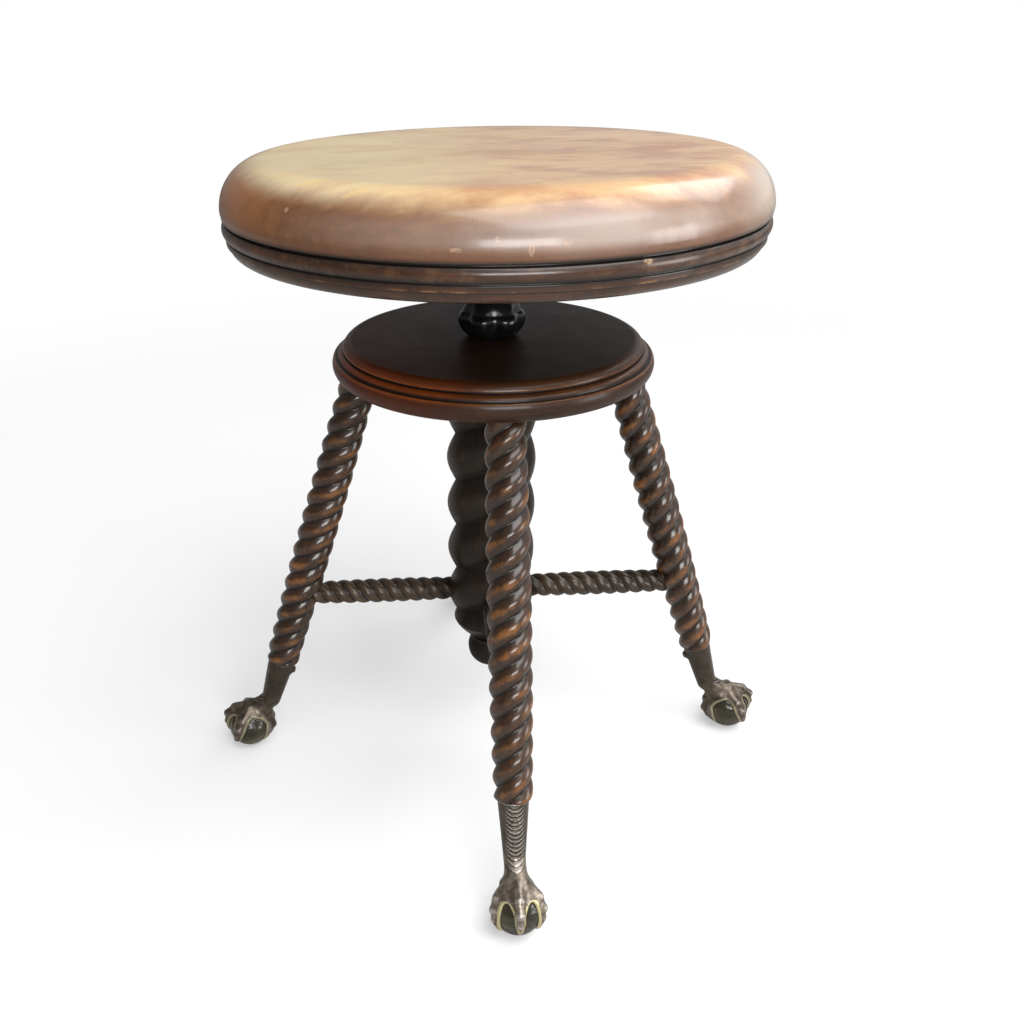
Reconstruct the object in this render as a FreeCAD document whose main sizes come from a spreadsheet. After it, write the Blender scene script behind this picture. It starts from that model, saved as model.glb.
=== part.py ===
import FreeCAD, Part
import math
import os
import Sketcher

# Revolving piano stool: a turned round seat on a screwed spindle, four twist-turned
# legs and stretchers round a twist-turned post, and cast claw feet that grip glass balls.
# Millimetres and degrees. The origin is on the floor, under the spindle's axis.
# +Z is up, and the front leg points along -Y.

os.makedirs("parts", exist_ok=True)
doc = FreeCAD.newDocument("revolving_piano_stool")
Vector = FreeCAD.Vector
UP = Vector(0, 0, 1)
SIDES = ("front", "right", "rear", "left")

# Driving dimensions
DRIVING = {
    # seat
    "seat_radius": 177.8,
    "seat_thickness": 57.0,
    "seat_round": 30.0,
    "seat_band_height": 22.1,
    "seat_groove_height": 1.9,
    "seat_groove_depth": 5.0,
    "seat_bead_height": 8.1,
    "seat_fine_groove": 1.3,
    "seat_lower_band": 6.9,
    "seat_bottom_inset": 9.0,
    "seat_band_inset": 3.8,
    "seat_fillet_inset": 2.4,
    "seat_fine_inset": 3.4,
    "seat_bead_inset": 1.6,
    "seat_groove_inset": 0.8,
    "seat_band_radius": 8.0,
    # base disc
    "disc_height": 344.0,
    "disc_thickness": 24.0,
    "disc_radius": 110.6,
    "disc_flat_inset": 12.1,
    "disc_round": 6.5,
    "disc_bead_height": 3.4,
    "disc_bottom_inset": 3.3,
    "disc_band_height": 13.3,
    "disc_bulge_radius": 9.6,
    "disc_step_inset": 2.4,
    "disc_step_height": 0.7,
    "disc_bead_inset": 6.2,
    "disc_bead_radius": 4.4,
    "disc_fine_inset": 7.2,
    "disc_fine_height": 1.1,
    # legs
    "leg_top_offset": 91.8,
    "leg_splay": 17.4,
    "leg_end_height": 80.0,
    "leg_radius": 13.0,
    "leg_swell": 1.6,
    "leg_groove": 2.7,
    "leg_lead": 45.0,
    "leg_tenon_radius": 9.5,
    "leg_tenon_length": 13.0,
    "leg_peg_radius": 6.5,
    "leg_peg_length": 18.0,
    # stretchers
    "stretcher_height": 140.0,
    "stretcher_radius": 8.6,
    "stretcher_swell": 0.8,
    "stretcher_groove": 1.8,
    "stretcher_lead": 31.0,
    "stretcher_tenon_radius": 5.5,
    "stretcher_tenon_length": 16.0,
    # centre post
    "post_radius": 32.6,
    "post_groove": 6.2,
    "post_lead": 74.6,
    "post_taper_height": 118.0,
    "post_end_height": 98.0,
    "post_end_radius": 15.5,
    "post_tenon_radius": 22.0,
    "post_tenon_length": 12.0,
    "post_bore_spare": 31.6,
    # finial under the post
    "finial_radius": 17.2,
    "finial_neck_radius": 15.0,
    "finial_neck_height": 3.0,
    "finial_length": 26.0,
    "finial_tenon_radius": 7.0,
    "finial_tenon_length": 15.0,
    # spindle and its nut
    "spindle_radius": 9.525,
    "spindle_chamfer": 1.0,
    "thread_lead": 8.467,
    "turns": 13.0,
    "nut_collar_height": 27.0,
    "nut_collar_radius": 23.5,
    "nut_foot_radius": 15.5,
    "nut_top_radius": 14.5,
    "nut_waist_height": 12.5,
    "nut_barrel_radius": 14.0,
    "nut_barrel_length": 44.0,
    "nut_lobe_radius": 13.0,
    "nut_lobe_depth": 2.6,
    # cast spider under the seat
    "hub_height": 39.7,
    "hub_cap": 2.7,
    "spider_hub_radius": 15.0,
    "spider_flare_radius": 25.0,
    "hub_flare_height": 12.0,
    "hub_draft": 2.0,
    "spider_thickness": 5.0,
    "spider_arm_length": 128.0,
    "spider_arm_root": 28.0,
    "spider_arm_tip": 18.0,
    "spider_inner_screw": 62.0,
    "spider_outer_screw": 117.0,
    "hub_pin_radius": 2.5,
    "hub_pin_height": 14.0,
    "hub_pin_stand": 0.5,
    # wood screws under the seat
    "screw_radius": 2.1,
    "screw_head_radius": 4.2,
    "screw_length": 19.0,
    "screw_clearance": 1.0,
    # stop at the spindle's lower end
    "stop_washer_radius": 12.8,
    "stop_washer_thickness": 2.5,
    "stop_screw_radius": 3.0,
    "stop_screw_depth": 14.0,
    "stop_head_radius": 6.0,
    "stop_head_height": 3.2,
    # claw feet and glass balls
    "foot_offset": 198.3,
    "ball_radius": 17.0,
    "claw_wall": 2.6,
    "claw_socket_radius": 10.75,
    "claw_ankle_radius": 7.6,
    "claw_ankle_height": 42.0,
    "toe_radius": 4.3,
    "toe_tip_radius": 1.9,
    "foot_screw_radius": 1.6,
    "foot_screw_head": 3.0,
    "foot_screw_drop": 8.0,
    # fits
    "running_gap": 0.05,
    "glue_gap": 0.1,
    "loose_gap": 0.3,
}

# Heights and radii that follow from the driving dimensions
DERIVED = {
    "nut_top": "disc_height + nut_collar_height",
    "hub_bottom": "nut_top + loose_gap",
    "seat_bottom": "hub_bottom + hub_height",
    "seat_height": "seat_bottom + seat_thickness",
    "seat_side": "seat_height - seat_round",
    "band_top": "seat_bottom + seat_band_height",
    "groove_bottom": "band_top - seat_groove_height",
    "bead_bottom": "groove_bottom - seat_bead_height",
    "fillet_top": "bead_bottom - seat_fine_groove",
    "lower_band_top": "seat_bottom + seat_lower_band",
    "disc_bottom": "disc_height - disc_thickness",
    "disc_band_top": "disc_bottom + disc_band_height",
    "disc_step_top": "disc_band_top + disc_step_height",
    "disc_bead_top": "disc_step_top + disc_bead_height",
    "disc_edge_bottom": "disc_bead_top + disc_fine_height",
    "nut_barrel_bottom": "disc_height - nut_barrel_length",
    "lift": "thread_lead * turns",
    "washer_top": "nut_barrel_bottom - lift - loose_gap",
    "washer_bottom": "washer_top - stop_washer_thickness",
    "spindle_bottom": "washer_top + loose_gap",
    "spindle_top": "seat_bottom - hub_cap",
    "stop_head_top": "washer_bottom - loose_gap",
    "stop_head_bottom": "stop_head_top - stop_head_height",
    "post_bore_floor": "stop_head_bottom - post_bore_spare",
    "spider_bottom": "seat_bottom - spider_thickness",
    "finial_bottom": "post_end_height - finial_length",
    "screw_sink": "screw_head_radius - screw_radius",
    "hub_pin_length": "2 * spider_hub_radius + 2 * hub_pin_stand",
    "lean_across": "sin(leg_splay * 1deg)",
    "lean_up": "cos(leg_splay * 1deg)",
}

sheet = doc.addObject("Spreadsheet::Sheet", "Sizes")
for row, (name, value) in enumerate(DRIVING.items(), start=1):
    sheet.set(f"A{row}", name)
    sheet.set(f"B{row}", str(value))
    sheet.setAlias(f"B{row}", name)
for row, (name, formula) in enumerate(DERIVED.items(), start=len(DRIVING) + 1):
    sheet.set(f"A{row}", name)
    sheet.set(f"B{row}", "=" + formula)
    sheet.setAlias(f"B{row}", name)
outlines = doc.addObject("Spreadsheet::Sheet", "Outlines")
doc.recompute()
size = {name: float(sheet.get(name)) for name in [*DRIVING, *DERIVED]}


# Sketched outlines: every coordinate is a cell, and a constraint follows it
outline_rows = []


def outline_cell(formula):
    """Write a formula of the Sizes sheet into the outline sheet and return its address."""
    address = f"B{len(outline_rows) + 1}"
    outline_rows.append(formula)
    terms = []
    for word in formula.split():
        terms.append(f"Sizes.{word}" if word in size else word)
    outlines.set(address, "=" + " ".join(terms))
    return address


def origin_plane(body, role):
    return next(item for item in body.Origin.OriginFeatures if item.Role == role)


def bind(sketch, constraint, cell, name):
    index = sketch.addConstraint(constraint)
    sketch.renameConstraint(index, name)
    sketch.setExpression(f"Constraints.{name}", f"Outlines.{cell}")


def arc_between(start, end, radius, left):
    """The short arc from start to end whose centre is to the left or right of the chord."""
    chord = end - start
    middle = (start + end) * 0.5
    height = math.sqrt(max(radius**2 - (chord.Length / 2) ** 2, 0.0))
    across = Vector(-chord.y, chord.x, 0).normalize()
    centre = middle + across * (height if left else -height)
    first, last = (start, end) if left else (end, start)
    first_angle = math.atan2(first.y - centre.y, first.x - centre.x)
    last_angle = math.atan2(last.y - centre.y, last.x - centre.x)
    if last_angle < first_angle:
        last_angle += 2 * math.pi
    return Part.ArcOfCircle(Part.Circle(centre, UP, radius), first_angle, last_angle)


def draw_outline(sketch, points):
    """Close an outline. A point is (radius, height) or (radius, height, arc radius, side)."""
    cells = []
    for point in points:
        cells.append([outline_cell(text) for text in point[:3]])
    doc.recompute()
    places = [
        Vector(float(outlines.get(cell[0])), float(outlines.get(cell[1])), 0)
        for cell in cells
    ]
    count = len(points)
    ends = []
    for index in range(count):
        start = places[index - 1]
        end = places[index]
        if len(points[index]) == 2:
            number = sketch.addGeometry(Part.LineSegment(start, end), False)
            ends.append((number, 1, 2))
        else:
            radius = float(outlines.get(cells[index][2]))
            left = points[index][3] == "left"
            number = sketch.addGeometry(arc_between(start, end, radius, left), False)
            ends.append((number, 1, 2) if left else (number, 2, 1))
            bind(sketch, Sketcher.Constraint("Radius", number, radius), cells[index][2], f"arc{index}")
    for index in range(count):
        number, _, last = ends[index]
        following, first, _ = ends[(index + 1) % count]
        sketch.addConstraint(Sketcher.Constraint("Coincident", number, last, following, first))
        place = places[index]
        if points[index][0] == "0":
            sketch.addConstraint(Sketcher.Constraint("PointOnObject", number, last, -2))
        else:
            across = Sketcher.Constraint("DistanceX", -1, 1, number, last, place.x)
            bind(sketch, across, cells[index][0], f"across{index}")
        upward = Sketcher.Constraint("DistanceY", -1, 1, number, last, place.y)
        bind(sketch, upward, cells[index][1], f"height{index}")


def new_body(label):
    body = doc.addObject("PartDesign::Body", label)
    body.Label = label
    return body


def new_sketch(body, name, plane, offset_cell=None):
    sketch = body.newObject("Sketcher::SketchObject", name)
    sketch.AttachmentSupport = (origin_plane(body, plane), [""])
    sketch.MapMode = "FlatFace"
    if offset_cell:
        sketch.setExpression("AttachmentOffset.Base.z", f"Outlines.{offset_cell}")
    return sketch


def turned_body(label, points):
    """A lathe-turned piece: its half outline turned round the upright axis."""
    body = new_body(label)
    sketch = new_sketch(body, f"{label}_outline", "XZ_Plane")
    draw_outline(sketch, points)
    turn = body.newObject("PartDesign::Revolution", f"{label}_turn")
    turn.Profile = sketch
    turn.ReferenceAxis = (sketch, ["V_Axis"])
    turn.Angle = 360
    doc.recompute()
    return body


def round_pocket(body, name, centre, radius, floor, depth):
    """Pocket a round hole upwards from a level, at a distance from the axis."""
    sketch = new_sketch(body, f"{name}_circle", "XY_Plane", floor)
    where = float(outlines.get(centre))
    size_now = float(outlines.get(radius))
    circle = Part.Circle(Vector(where, 0, 0), UP, size_now)
    number = sketch.addGeometry(circle, False)
    sketch.addConstraint(Sketcher.Constraint("PointOnObject", number, 3, -1))
    bind(sketch, Sketcher.Constraint("DistanceX", -1, 1, number, 3, where), centre, "centre")
    bind(sketch, Sketcher.Constraint("Radius", number, size_now), radius, "radius")
    pocket = body.newObject("PartDesign::Pocket", name)
    pocket.Profile = sketch
    pocket.Reversed = True
    pocket.setExpression("Length", f"Outlines.{depth}")
    doc.recompute()
    return pocket


def polar_pattern(body, name, features, count):
    pattern = body.newObject("PartDesign::PolarPattern", name)
    pattern.Originals = features
    pattern.Axis = (next(a for a in body.Origin.OriginFeatures if a.Role == "Z_Axis"), [""])
    pattern.Angle = 360
    pattern.Occurrences = count
    body.Tip = pattern
    doc.recompute()
    return pattern


def cross_hole(body):
    """The hole for the pin that holds the spindle in the spider's hub."""
    sketch = new_sketch(body, f"{body.Label}_pin_circle", "YZ_Plane")
    height, radius = ready_cells("hub_bottom + hub_pin_height", "hub_pin_radius + running_gap")
    where = float(outlines.get(height))
    size_now = float(outlines.get(radius))
    number = sketch.addGeometry(Part.Circle(Vector(0, where, 0), UP, size_now), False)
    sketch.addConstraint(Sketcher.Constraint("PointOnObject", number, 3, -2))
    bind(sketch, Sketcher.Constraint("DistanceY", -1, 1, number, 3, where), height, "height")
    bind(sketch, Sketcher.Constraint("Radius", number, size_now), radius, "radius")
    pocket = body.newObject("PartDesign::Pocket", f"{body.Label}_pin_hole")
    pocket.Profile = sketch
    pocket.Midplane = True
    pocket.setExpression("Length", "Sizes.spider_flare_radius * 4")
    doc.recompute()


def ready_cells(*formulas):
    cells = [outline_cell(formula) for formula in formulas]
    doc.recompute()
    return cells


# Seat: a thick turned board with a rounded edge, a deep groove, a bead and a lower band
seat = turned_body(
    "seat_top",
    [
        ("0", "seat_bottom"),
        ("seat_radius - seat_bottom_inset", "seat_bottom"),
        ("seat_radius - seat_band_inset", "lower_band_top", "seat_band_radius", "left"),
        ("seat_radius - seat_fillet_inset", "lower_band_top"),
        ("seat_radius - seat_fillet_inset", "fillet_top"),
        ("seat_radius - seat_fine_inset", "fillet_top"),
        ("seat_radius - seat_fine_inset", "bead_bottom"),
        ("seat_radius - seat_bead_inset", "bead_bottom"),
        ("seat_radius - seat_bead_inset", "groove_bottom", "seat_bead_height * 0.8", "left"),
        ("seat_radius - seat_groove_depth", "groove_bottom"),
        ("seat_radius - seat_groove_depth", "band_top"),
        ("seat_radius - seat_groove_inset", "band_top"),
        ("seat_radius", "seat_side"),
        ("seat_radius - seat_round", "seat_height", "seat_round", "left"),
        ("0", "seat_height"),
    ],
)
inner, outer, screw_hole, under_seat, screw_depth = ready_cells(
    "spider_inner_screw",
    "spider_outer_screw",
    "screw_radius + running_gap",
    "seat_bottom",
    "screw_length - spider_thickness + screw_clearance",
)
inner_hole = round_pocket(seat, "inner_pilot", inner, screw_hole, under_seat, screw_depth)
polar_pattern(seat, "inner_pilots", [inner_hole], 4)
outer_hole = round_pocket(seat, "outer_pilot", outer, screw_hole, under_seat, screw_depth)
polar_pattern(seat, "outer_pilots", [outer_hole], 4)

# Spider: a cast hub with four tapered arms, bored for the spindle and countersunk for screws
spider = turned_body(
    "seat_spider",
    [
        ("0", "seat_bottom"),
        ("0", "spindle_top"),
        ("spindle_radius + running_gap", "spindle_top"),
        ("spindle_radius + running_gap", "hub_bottom"),
        ("spider_hub_radius", "hub_bottom"),
        ("spider_hub_radius + hub_draft", "spider_bottom - hub_flare_height"),
        ("spider_flare_radius", "spider_bottom", "hub_flare_height", "right"),
        ("spider_flare_radius + hub_draft", "seat_bottom"),
    ],
)
arm_sketch = new_sketch(spider, "arm_outline", "XY_Plane", ready_cells("spider_bottom")[0])
draw_outline(
    arm_sketch,
    [
        ("spider_hub_radius + hub_draft", "spider_arm_root"),
        ("spider_arm_length", "1.5 * spider_arm_root - 0.5 * spider_arm_tip"),
        (
            "spider_arm_length",
            "1.5 * spider_arm_root + 0.5 * spider_arm_tip",
            "spider_arm_tip * 0.52",
            "left",
        ),
        ("spider_hub_radius + hub_draft", "2 * spider_arm_root"),
    ],
)
arm_sketch.setExpression("AttachmentOffset.Base.y", "-1.5 * Sizes.spider_arm_root")
arm = spider.newObject("PartDesign::Pad", "arm")
arm.Profile = arm_sketch
arm.setExpression("Length", "Sizes.spider_thickness")
doc.recompute()


def countersunk(body, name, centre_name):
    """A countersunk screw hole, turned round its own upright axis through an arm."""
    sketch = new_sketch(body, f"{name}_outline", "XZ_Plane")
    draw_outline(
        sketch,
        [
            (centre_name, "spider_bottom - screw_clearance"),
            (f"{centre_name} + screw_head_radius + loose_gap", "spider_bottom - screw_clearance"),
            (f"{centre_name} + screw_head_radius + loose_gap", "spider_bottom"),
            (f"{centre_name} + screw_radius + loose_gap", "spider_bottom + screw_sink"),
            (f"{centre_name} + screw_radius + loose_gap", "seat_bottom + screw_clearance"),
            (centre_name, "seat_bottom + screw_clearance"),
        ],
    )
    groove = body.newObject("PartDesign::Groove", name)
    groove.Profile = sketch
    groove.ReferenceAxis = (sketch, ["Edge1"])
    groove.Angle = 360
    doc.recompute()
    return groove


inner_sink = countersunk(spider, "inner_countersink", "spider_inner_screw")
outer_sink = countersunk(spider, "outer_countersink", "spider_outer_screw")
polar_pattern(spider, "arms", [arm, inner_sink, outer_sink], 4)
cross_hole(spider)

# Base disc: a smaller turned board in the same style, bored for the nut and the post's tenon
disc = turned_body(
    "base_disc",
    [
        ("nut_barrel_radius + glue_gap", "disc_height"),
        ("nut_barrel_radius + glue_gap", "disc_bottom + post_tenon_length"),
        ("post_tenon_radius + glue_gap", "disc_bottom + post_tenon_length"),
        ("post_tenon_radius + glue_gap", "disc_bottom"),
        ("disc_radius - disc_bottom_inset", "disc_bottom"),
        ("disc_radius", "disc_band_top", "disc_bulge_radius", "left"),
        ("disc_radius - disc_step_inset", "disc_band_top"),
        ("disc_radius - disc_step_inset", "disc_step_top"),
        ("disc_radius - disc_bead_inset", "disc_bead_top", "disc_bead_radius", "left"),
        ("disc_radius - disc_fine_inset", "disc_bead_top"),
        ("disc_radius - disc_fine_inset", "disc_edge_bottom"),
        ("disc_radius - disc_bead_inset", "disc_edge_bottom"),
        ("disc_radius - disc_flat_inset", "disc_height", "disc_round", "left"),
    ],
)
socket_sketch = new_sketch(disc, "leg_socket_outline", "XZ_Plane")
draw_outline(
    socket_sketch,
    [
        ("leg_top_offset + leg_tenon_radius * lean_across", "disc_bottom - leg_tenon_radius * lean_up"),
        (
            "leg_top_offset + leg_tenon_radius * lean_across + ( leg_tenon_radius + glue_gap ) * lean_up",
            "disc_bottom - leg_tenon_radius * lean_up + ( leg_tenon_radius + glue_gap ) * lean_across",
        ),
        (
            "leg_top_offset - ( leg_tenon_length + glue_gap ) * lean_across"
            " + ( leg_tenon_radius + glue_gap ) * lean_up",
            "disc_bottom + ( leg_tenon_length + glue_gap ) * lean_up"
            " + ( leg_tenon_radius + glue_gap ) * lean_across",
        ),
        (
            "leg_top_offset - ( leg_tenon_length + glue_gap ) * lean_across",
            "disc_bottom + ( leg_tenon_length + glue_gap ) * lean_up",
        ),
    ],
)
leg_socket = disc.newObject("PartDesign::Groove", "leg_socket")
leg_socket.Profile = socket_sketch
leg_socket.ReferenceAxis = (socket_sketch, ["Edge1"])
leg_socket.Angle = 360
doc.recompute()
polar_pattern(disc, "leg_sockets", [leg_socket], 4)

# Spindle: a plain rod here, pinned in the hub and tapped at its lower end
spindle = turned_body(
    "spindle",
    [
        ("0", "spindle_bottom + stop_screw_depth"),
        ("stop_screw_radius + running_gap", "spindle_bottom + stop_screw_depth"),
        ("stop_screw_radius + running_gap", "spindle_bottom"),
        ("spindle_radius - spindle_chamfer", "spindle_bottom"),
        ("spindle_radius", "spindle_bottom + spindle_chamfer"),
        ("spindle_radius", "spindle_top"),
        ("0", "spindle_top"),
    ],
)
cross_hole(spindle)
hub_pin = doc.addObject("Part::Cylinder", "hub_pin")
hub_pin.Label = "hub_pin"
hub_pin.setExpression("Radius", "Sizes.hub_pin_radius")
hub_pin.setExpression("Height", "Sizes.hub_pin_length")
hub_pin.Placement.Rotation = FreeCAD.Rotation(Vector(0, 1, 0), 90)
hub_pin.setExpression("Placement.Base.x", "-Sizes.hub_pin_length / 2")
hub_pin.setExpression("Placement.Base.z", "Sizes.hub_bottom + Sizes.hub_pin_height")

# Stop: a loose washer on a screw, wider than the nut's bore, ends the seat's rise
turned_body(
    "stop_washer",
    [
        ("stop_screw_radius + loose_gap", "washer_bottom"),
        ("stop_washer_radius", "washer_bottom"),
        ("stop_washer_radius", "washer_top"),
        ("stop_screw_radius + loose_gap", "washer_top"),
    ],
)
turned_body(
    "stop_screw",
    [
        ("0", "stop_head_bottom"),
        ("stop_head_radius - spindle_chamfer", "stop_head_bottom"),
        ("stop_head_radius", "stop_head_bottom + spindle_chamfer"),
        ("stop_head_radius", "stop_head_top"),
        ("stop_screw_radius", "stop_head_top"),
        ("stop_screw_radius", "spindle_bottom + stop_screw_depth - spindle_chamfer"),
        ("0", "spindle_bottom + stop_screw_depth - spindle_chamfer"),
    ],
)

# Nut: a lobed cast collar on the disc with a long barrel down into the post
nut = turned_body(
    "spindle_nut",
    [
        ("spindle_radius + running_gap", "nut_barrel_bottom"),
        ("nut_barrel_radius", "nut_barrel_bottom"),
        ("nut_barrel_radius", "disc_height"),
        ("nut_foot_radius", "disc_height"),
        ("nut_collar_radius", "disc_height + nut_waist_height", "nut_waist_height * 1.1", "left"),
        ("nut_top_radius", "nut_top", "nut_waist_height * 1.2", "left"),
        ("spindle_radius + running_gap", "nut_top"),
    ],
)
lobe = round_pocket(
    nut,
    "lobe_hollow",
    *ready_cells(
        "nut_collar_radius + nut_lobe_radius - nut_lobe_depth",
        "nut_lobe_radius",
        "disc_height",
        "nut_collar_height",
    ),
)
polar_pattern(nut, "lobe_hollows", [lobe], 6)

# Finial: a turned knob whose tenon plugs into the post's lower end
turned_body(
    "post_finial",
    [
        ("0", "finial_bottom"),
        ("finial_radius * 0.4", "finial_bottom"),
        ("finial_radius", "finial_bottom + finial_length * 0.5", "finial_length * 0.55", "left"),
        ("finial_neck_radius", "post_end_height - finial_neck_height", "finial_length * 0.55", "left"),
        ("finial_neck_radius + glue_gap", "post_end_height"),
        ("finial_tenon_radius", "post_end_height"),
        ("finial_tenon_radius", "post_end_height + finial_tenon_length"),
        ("0", "post_end_height + finial_tenon_length"),
    ],
)


def twisted_bar(length, lead, starts, crest_at, groove_at, phase, rings_per_turn, points_per_strand):
    """A right-handed twist along +Z, built ring by ring: round strands with sharp grooves between."""
    rings = max(2, round(length / lead * rings_per_turn))
    around = starts * points_per_strand
    corners = []
    for ring in range(rings + 1):
        height = length * ring / rings
        turned = phase + 2 * math.pi * height / lead
        for step in range(around):
            swell = abs(math.sin(math.pi * step / points_per_strand))
            radius = crest_at(height) - groove_at(height) * (1 - swell)
            angle = turned + 2 * math.pi * step / around
            corners.append(Vector(radius * math.cos(angle), radius * math.sin(angle), height))
    facets = []
    for ring in range(rings):
        for step in range(around):
            low = ring * around + step
            low_next = ring * around + (step + 1) % around
            facets.append((low, low_next, low + around))
            facets.append((low_next, low_next + around, low + around))
    bottom = len(corners)
    corners.append(Vector(0, 0, 0))
    corners.append(Vector(0, 0, length))
    for step in range(around):
        following = (step + 1) % around
        facets.append((bottom, following, step))
        facets.append((bottom + 1, rings * around + step, rings * around + following))
    skin = Part.Shape()
    skin.makeShapeFromMesh((corners, facets), 0.001)
    bar = Part.Solid(Part.Shell(skin.Faces))
    if bar.Volume < 0:
        bar.reverse()
    return bar


def cylinder(radius, start, end):
    return Part.makeCylinder(radius, (end - start).Length, start, end - start)


def add_feature(label, shape, quarter=0):
    item = doc.addObject("Part::Feature", label)
    item.Label = label
    item.Shape = shape
    item.Placement = FreeCAD.Placement(Vector(), FreeCAD.Rotation(UP, 90 * quarter))
    return item


# Solids that are fused or cut run past each other by these lengths
OVERRUN = 6.0
CUT_REACH = 30.0
RINGS_PER_TURN = 12
POST_RINGS = 20

# Where a leg's axis runs: in the plane of -Y and +Z, leaning out from the disc to the floor
splay = math.radians(size["leg_splay"])
glue = size["glue_gap"]


def leg_offset(height):
    """Distance of a leg's axis from the stool's axis at a height."""
    return size["leg_top_offset"] + (size["disc_bottom"] - height) * math.tan(splay)


wood_end = Vector(0, -leg_offset(size["leg_end_height"]), size["leg_end_height"])
up_leg = Vector(0, math.sin(splay), math.cos(splay))
to_post = Vector(0, math.cos(splay), -math.sin(splay))
leg_frame = FreeCAD.Placement(wood_end, FreeCAD.Rotation(Vector(1, 0, 0), -size["leg_splay"]))
leg_length = (size["disc_bottom"] - size["leg_end_height"]) / math.cos(splay)
stretcher_z = size["stretcher_height"]
leg_at_stretcher = leg_offset(stretcher_z)
tenon_in_leg = Vector(0, -leg_at_stretcher - size["stretcher_tenon_radius"], stretcher_z)
tenon_in_post = Vector(0, size["stretcher_tenon_length"] - size["post_radius"], stretcher_z)
screw_level = wood_end - up_leg * size["foot_screw_drop"]
screw_seat = screw_level + to_post * (size["claw_socket_radius"] - 0.3)
screw_tip = screw_level - to_post * (size["leg_peg_radius"] - 2)


# Post: two heavy strands from the disc down to the finial, bored for spindle and nut
def post_crest(height):
    taper = size["post_taper_height"] - size["post_end_height"]
    share = min(1.0, height / taper)
    return size["post_end_radius"] + (size["post_radius"] - size["post_end_radius"]) * share


def post_groove(height):
    return size["post_groove"] * post_crest(height) / size["post_radius"]


post_length = size["disc_bottom"] - size["post_end_height"]
crest_level = stretcher_z - size["post_end_height"]
post_phase = -math.pi / 2 - 2 * math.pi * crest_level / size["post_lead"]
post = twisted_bar(post_length, size["post_lead"], 2, post_crest, post_groove, post_phase, POST_RINGS, 6)
post.translate(Vector(0, 0, size["post_end_height"]))
disc_bottom_centre = Vector(0, 0, size["disc_bottom"])
post = post.fuse(
    cylinder(
        size["post_tenon_radius"],
        disc_bottom_centre - UP * OVERRUN,
        disc_bottom_centre + UP * size["post_tenon_length"],
    )
)
post = post.cut(
    cylinder(
        size["nut_barrel_radius"] + glue,
        Vector(0, 0, size["post_bore_floor"]),
        Vector(0, 0, size["disc_height"]),
    )
)
post = post.cut(
    cylinder(
        size["finial_tenon_radius"] + glue,
        Vector(0, 0, size["post_end_height"] - OVERRUN),
        Vector(0, 0, size["post_end_height"] + size["finial_tenon_length"] + glue),
    )
)
for quarter in range(4):
    mortise = cylinder(
        size["stretcher_tenon_radius"] + glue,
        tenon_in_post + Vector(0, glue, 0),
        Vector(0, -size["post_radius"] - OVERRUN, stretcher_z),
    )
    mortise.rotate(Vector(), UP, 90 * quarter)
    post = post.cut(mortise)
add_feature("centre_post", post)


# Legs: three strands, a tenon up into the disc and a peg down into the claw
def leg_crest(height):
    return size["leg_radius"] + size["leg_swell"] * math.sin(math.pi * min(1.0, height / leg_length))


def leg_groove(height):
    return size["leg_groove"]


leg = twisted_bar(
    leg_length + OVERRUN, size["leg_lead"], 3, leg_crest, leg_groove, 0.0, RINGS_PER_TURN, 4
)
leg.Placement = leg_frame
leg_top = wood_end + up_leg * leg_length
leg_end_level = Vector(0, leg_top.y, size["disc_bottom"])
leg = leg.cut(cylinder(CUT_REACH, leg_end_level, leg_end_level + UP * CUT_REACH))
leg = leg.fuse(
    cylinder(
        size["leg_tenon_radius"],
        leg_top - up_leg * OVERRUN,
        leg_top + up_leg * size["leg_tenon_length"],
    )
)
leg_peg_end = wood_end - up_leg * size["leg_peg_length"]
leg = leg.fuse(cylinder(size["leg_peg_radius"], leg_peg_end, wood_end + up_leg * OVERRUN))
leg = leg.cut(
    cylinder(
        size["stretcher_tenon_radius"] + glue,
        tenon_in_leg - Vector(0, glue, 0),
        Vector(0, -leg_at_stretcher + CUT_REACH, stretcher_z),
    )
)
leg = leg.cut(cylinder(size["foot_screw_radius"] + glue, screw_tip - to_post * glue, screw_seat))
for quarter, side in enumerate(SIDES):
    add_feature(f"leg_{side}", leg, quarter)


# Stretchers: three fine strands, each end coped to the post or the leg, with round tenons
stretcher_start = size["post_radius"] - OVERRUN
stretcher_length = leg_at_stretcher - size["leg_radius"] + OVERRUN - stretcher_start


def stretcher_crest(height):
    return size["stretcher_radius"] + size["stretcher_swell"] * math.sin(math.pi * height / stretcher_length)


def stretcher_groove(height):
    return size["stretcher_groove"]


stretcher = twisted_bar(
    stretcher_length, size["stretcher_lead"], 3, stretcher_crest, stretcher_groove, 0.0, RINGS_PER_TURN, 3
)
stretcher.Placement = FreeCAD.Placement(
    Vector(0, -stretcher_start, stretcher_z), FreeCAD.Rotation(Vector(1, 0, 0), 90)
)
along_leg = (stretcher_z - size["leg_end_height"]) / math.cos(splay)
stretcher = stretcher.cut(
    cylinder(
        leg_crest(along_leg) + glue,
        wood_end + up_leg * (along_leg - CUT_REACH),
        wood_end + up_leg * (along_leg + CUT_REACH),
    )
)
stretcher_level = Vector(0, 0, stretcher_z)
post_cope = cylinder(
    size["post_radius"] + glue, stretcher_level - UP * CUT_REACH, stretcher_level + UP * CUT_REACH
)
stretcher = stretcher.cut(post_cope)
stretcher = stretcher.fuse(cylinder(size["stretcher_tenon_radius"], tenon_in_post, tenon_in_leg))
for quarter, side in enumerate(SIDES):
    add_feature(f"stretcher_{side}", stretcher, quarter)


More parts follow.
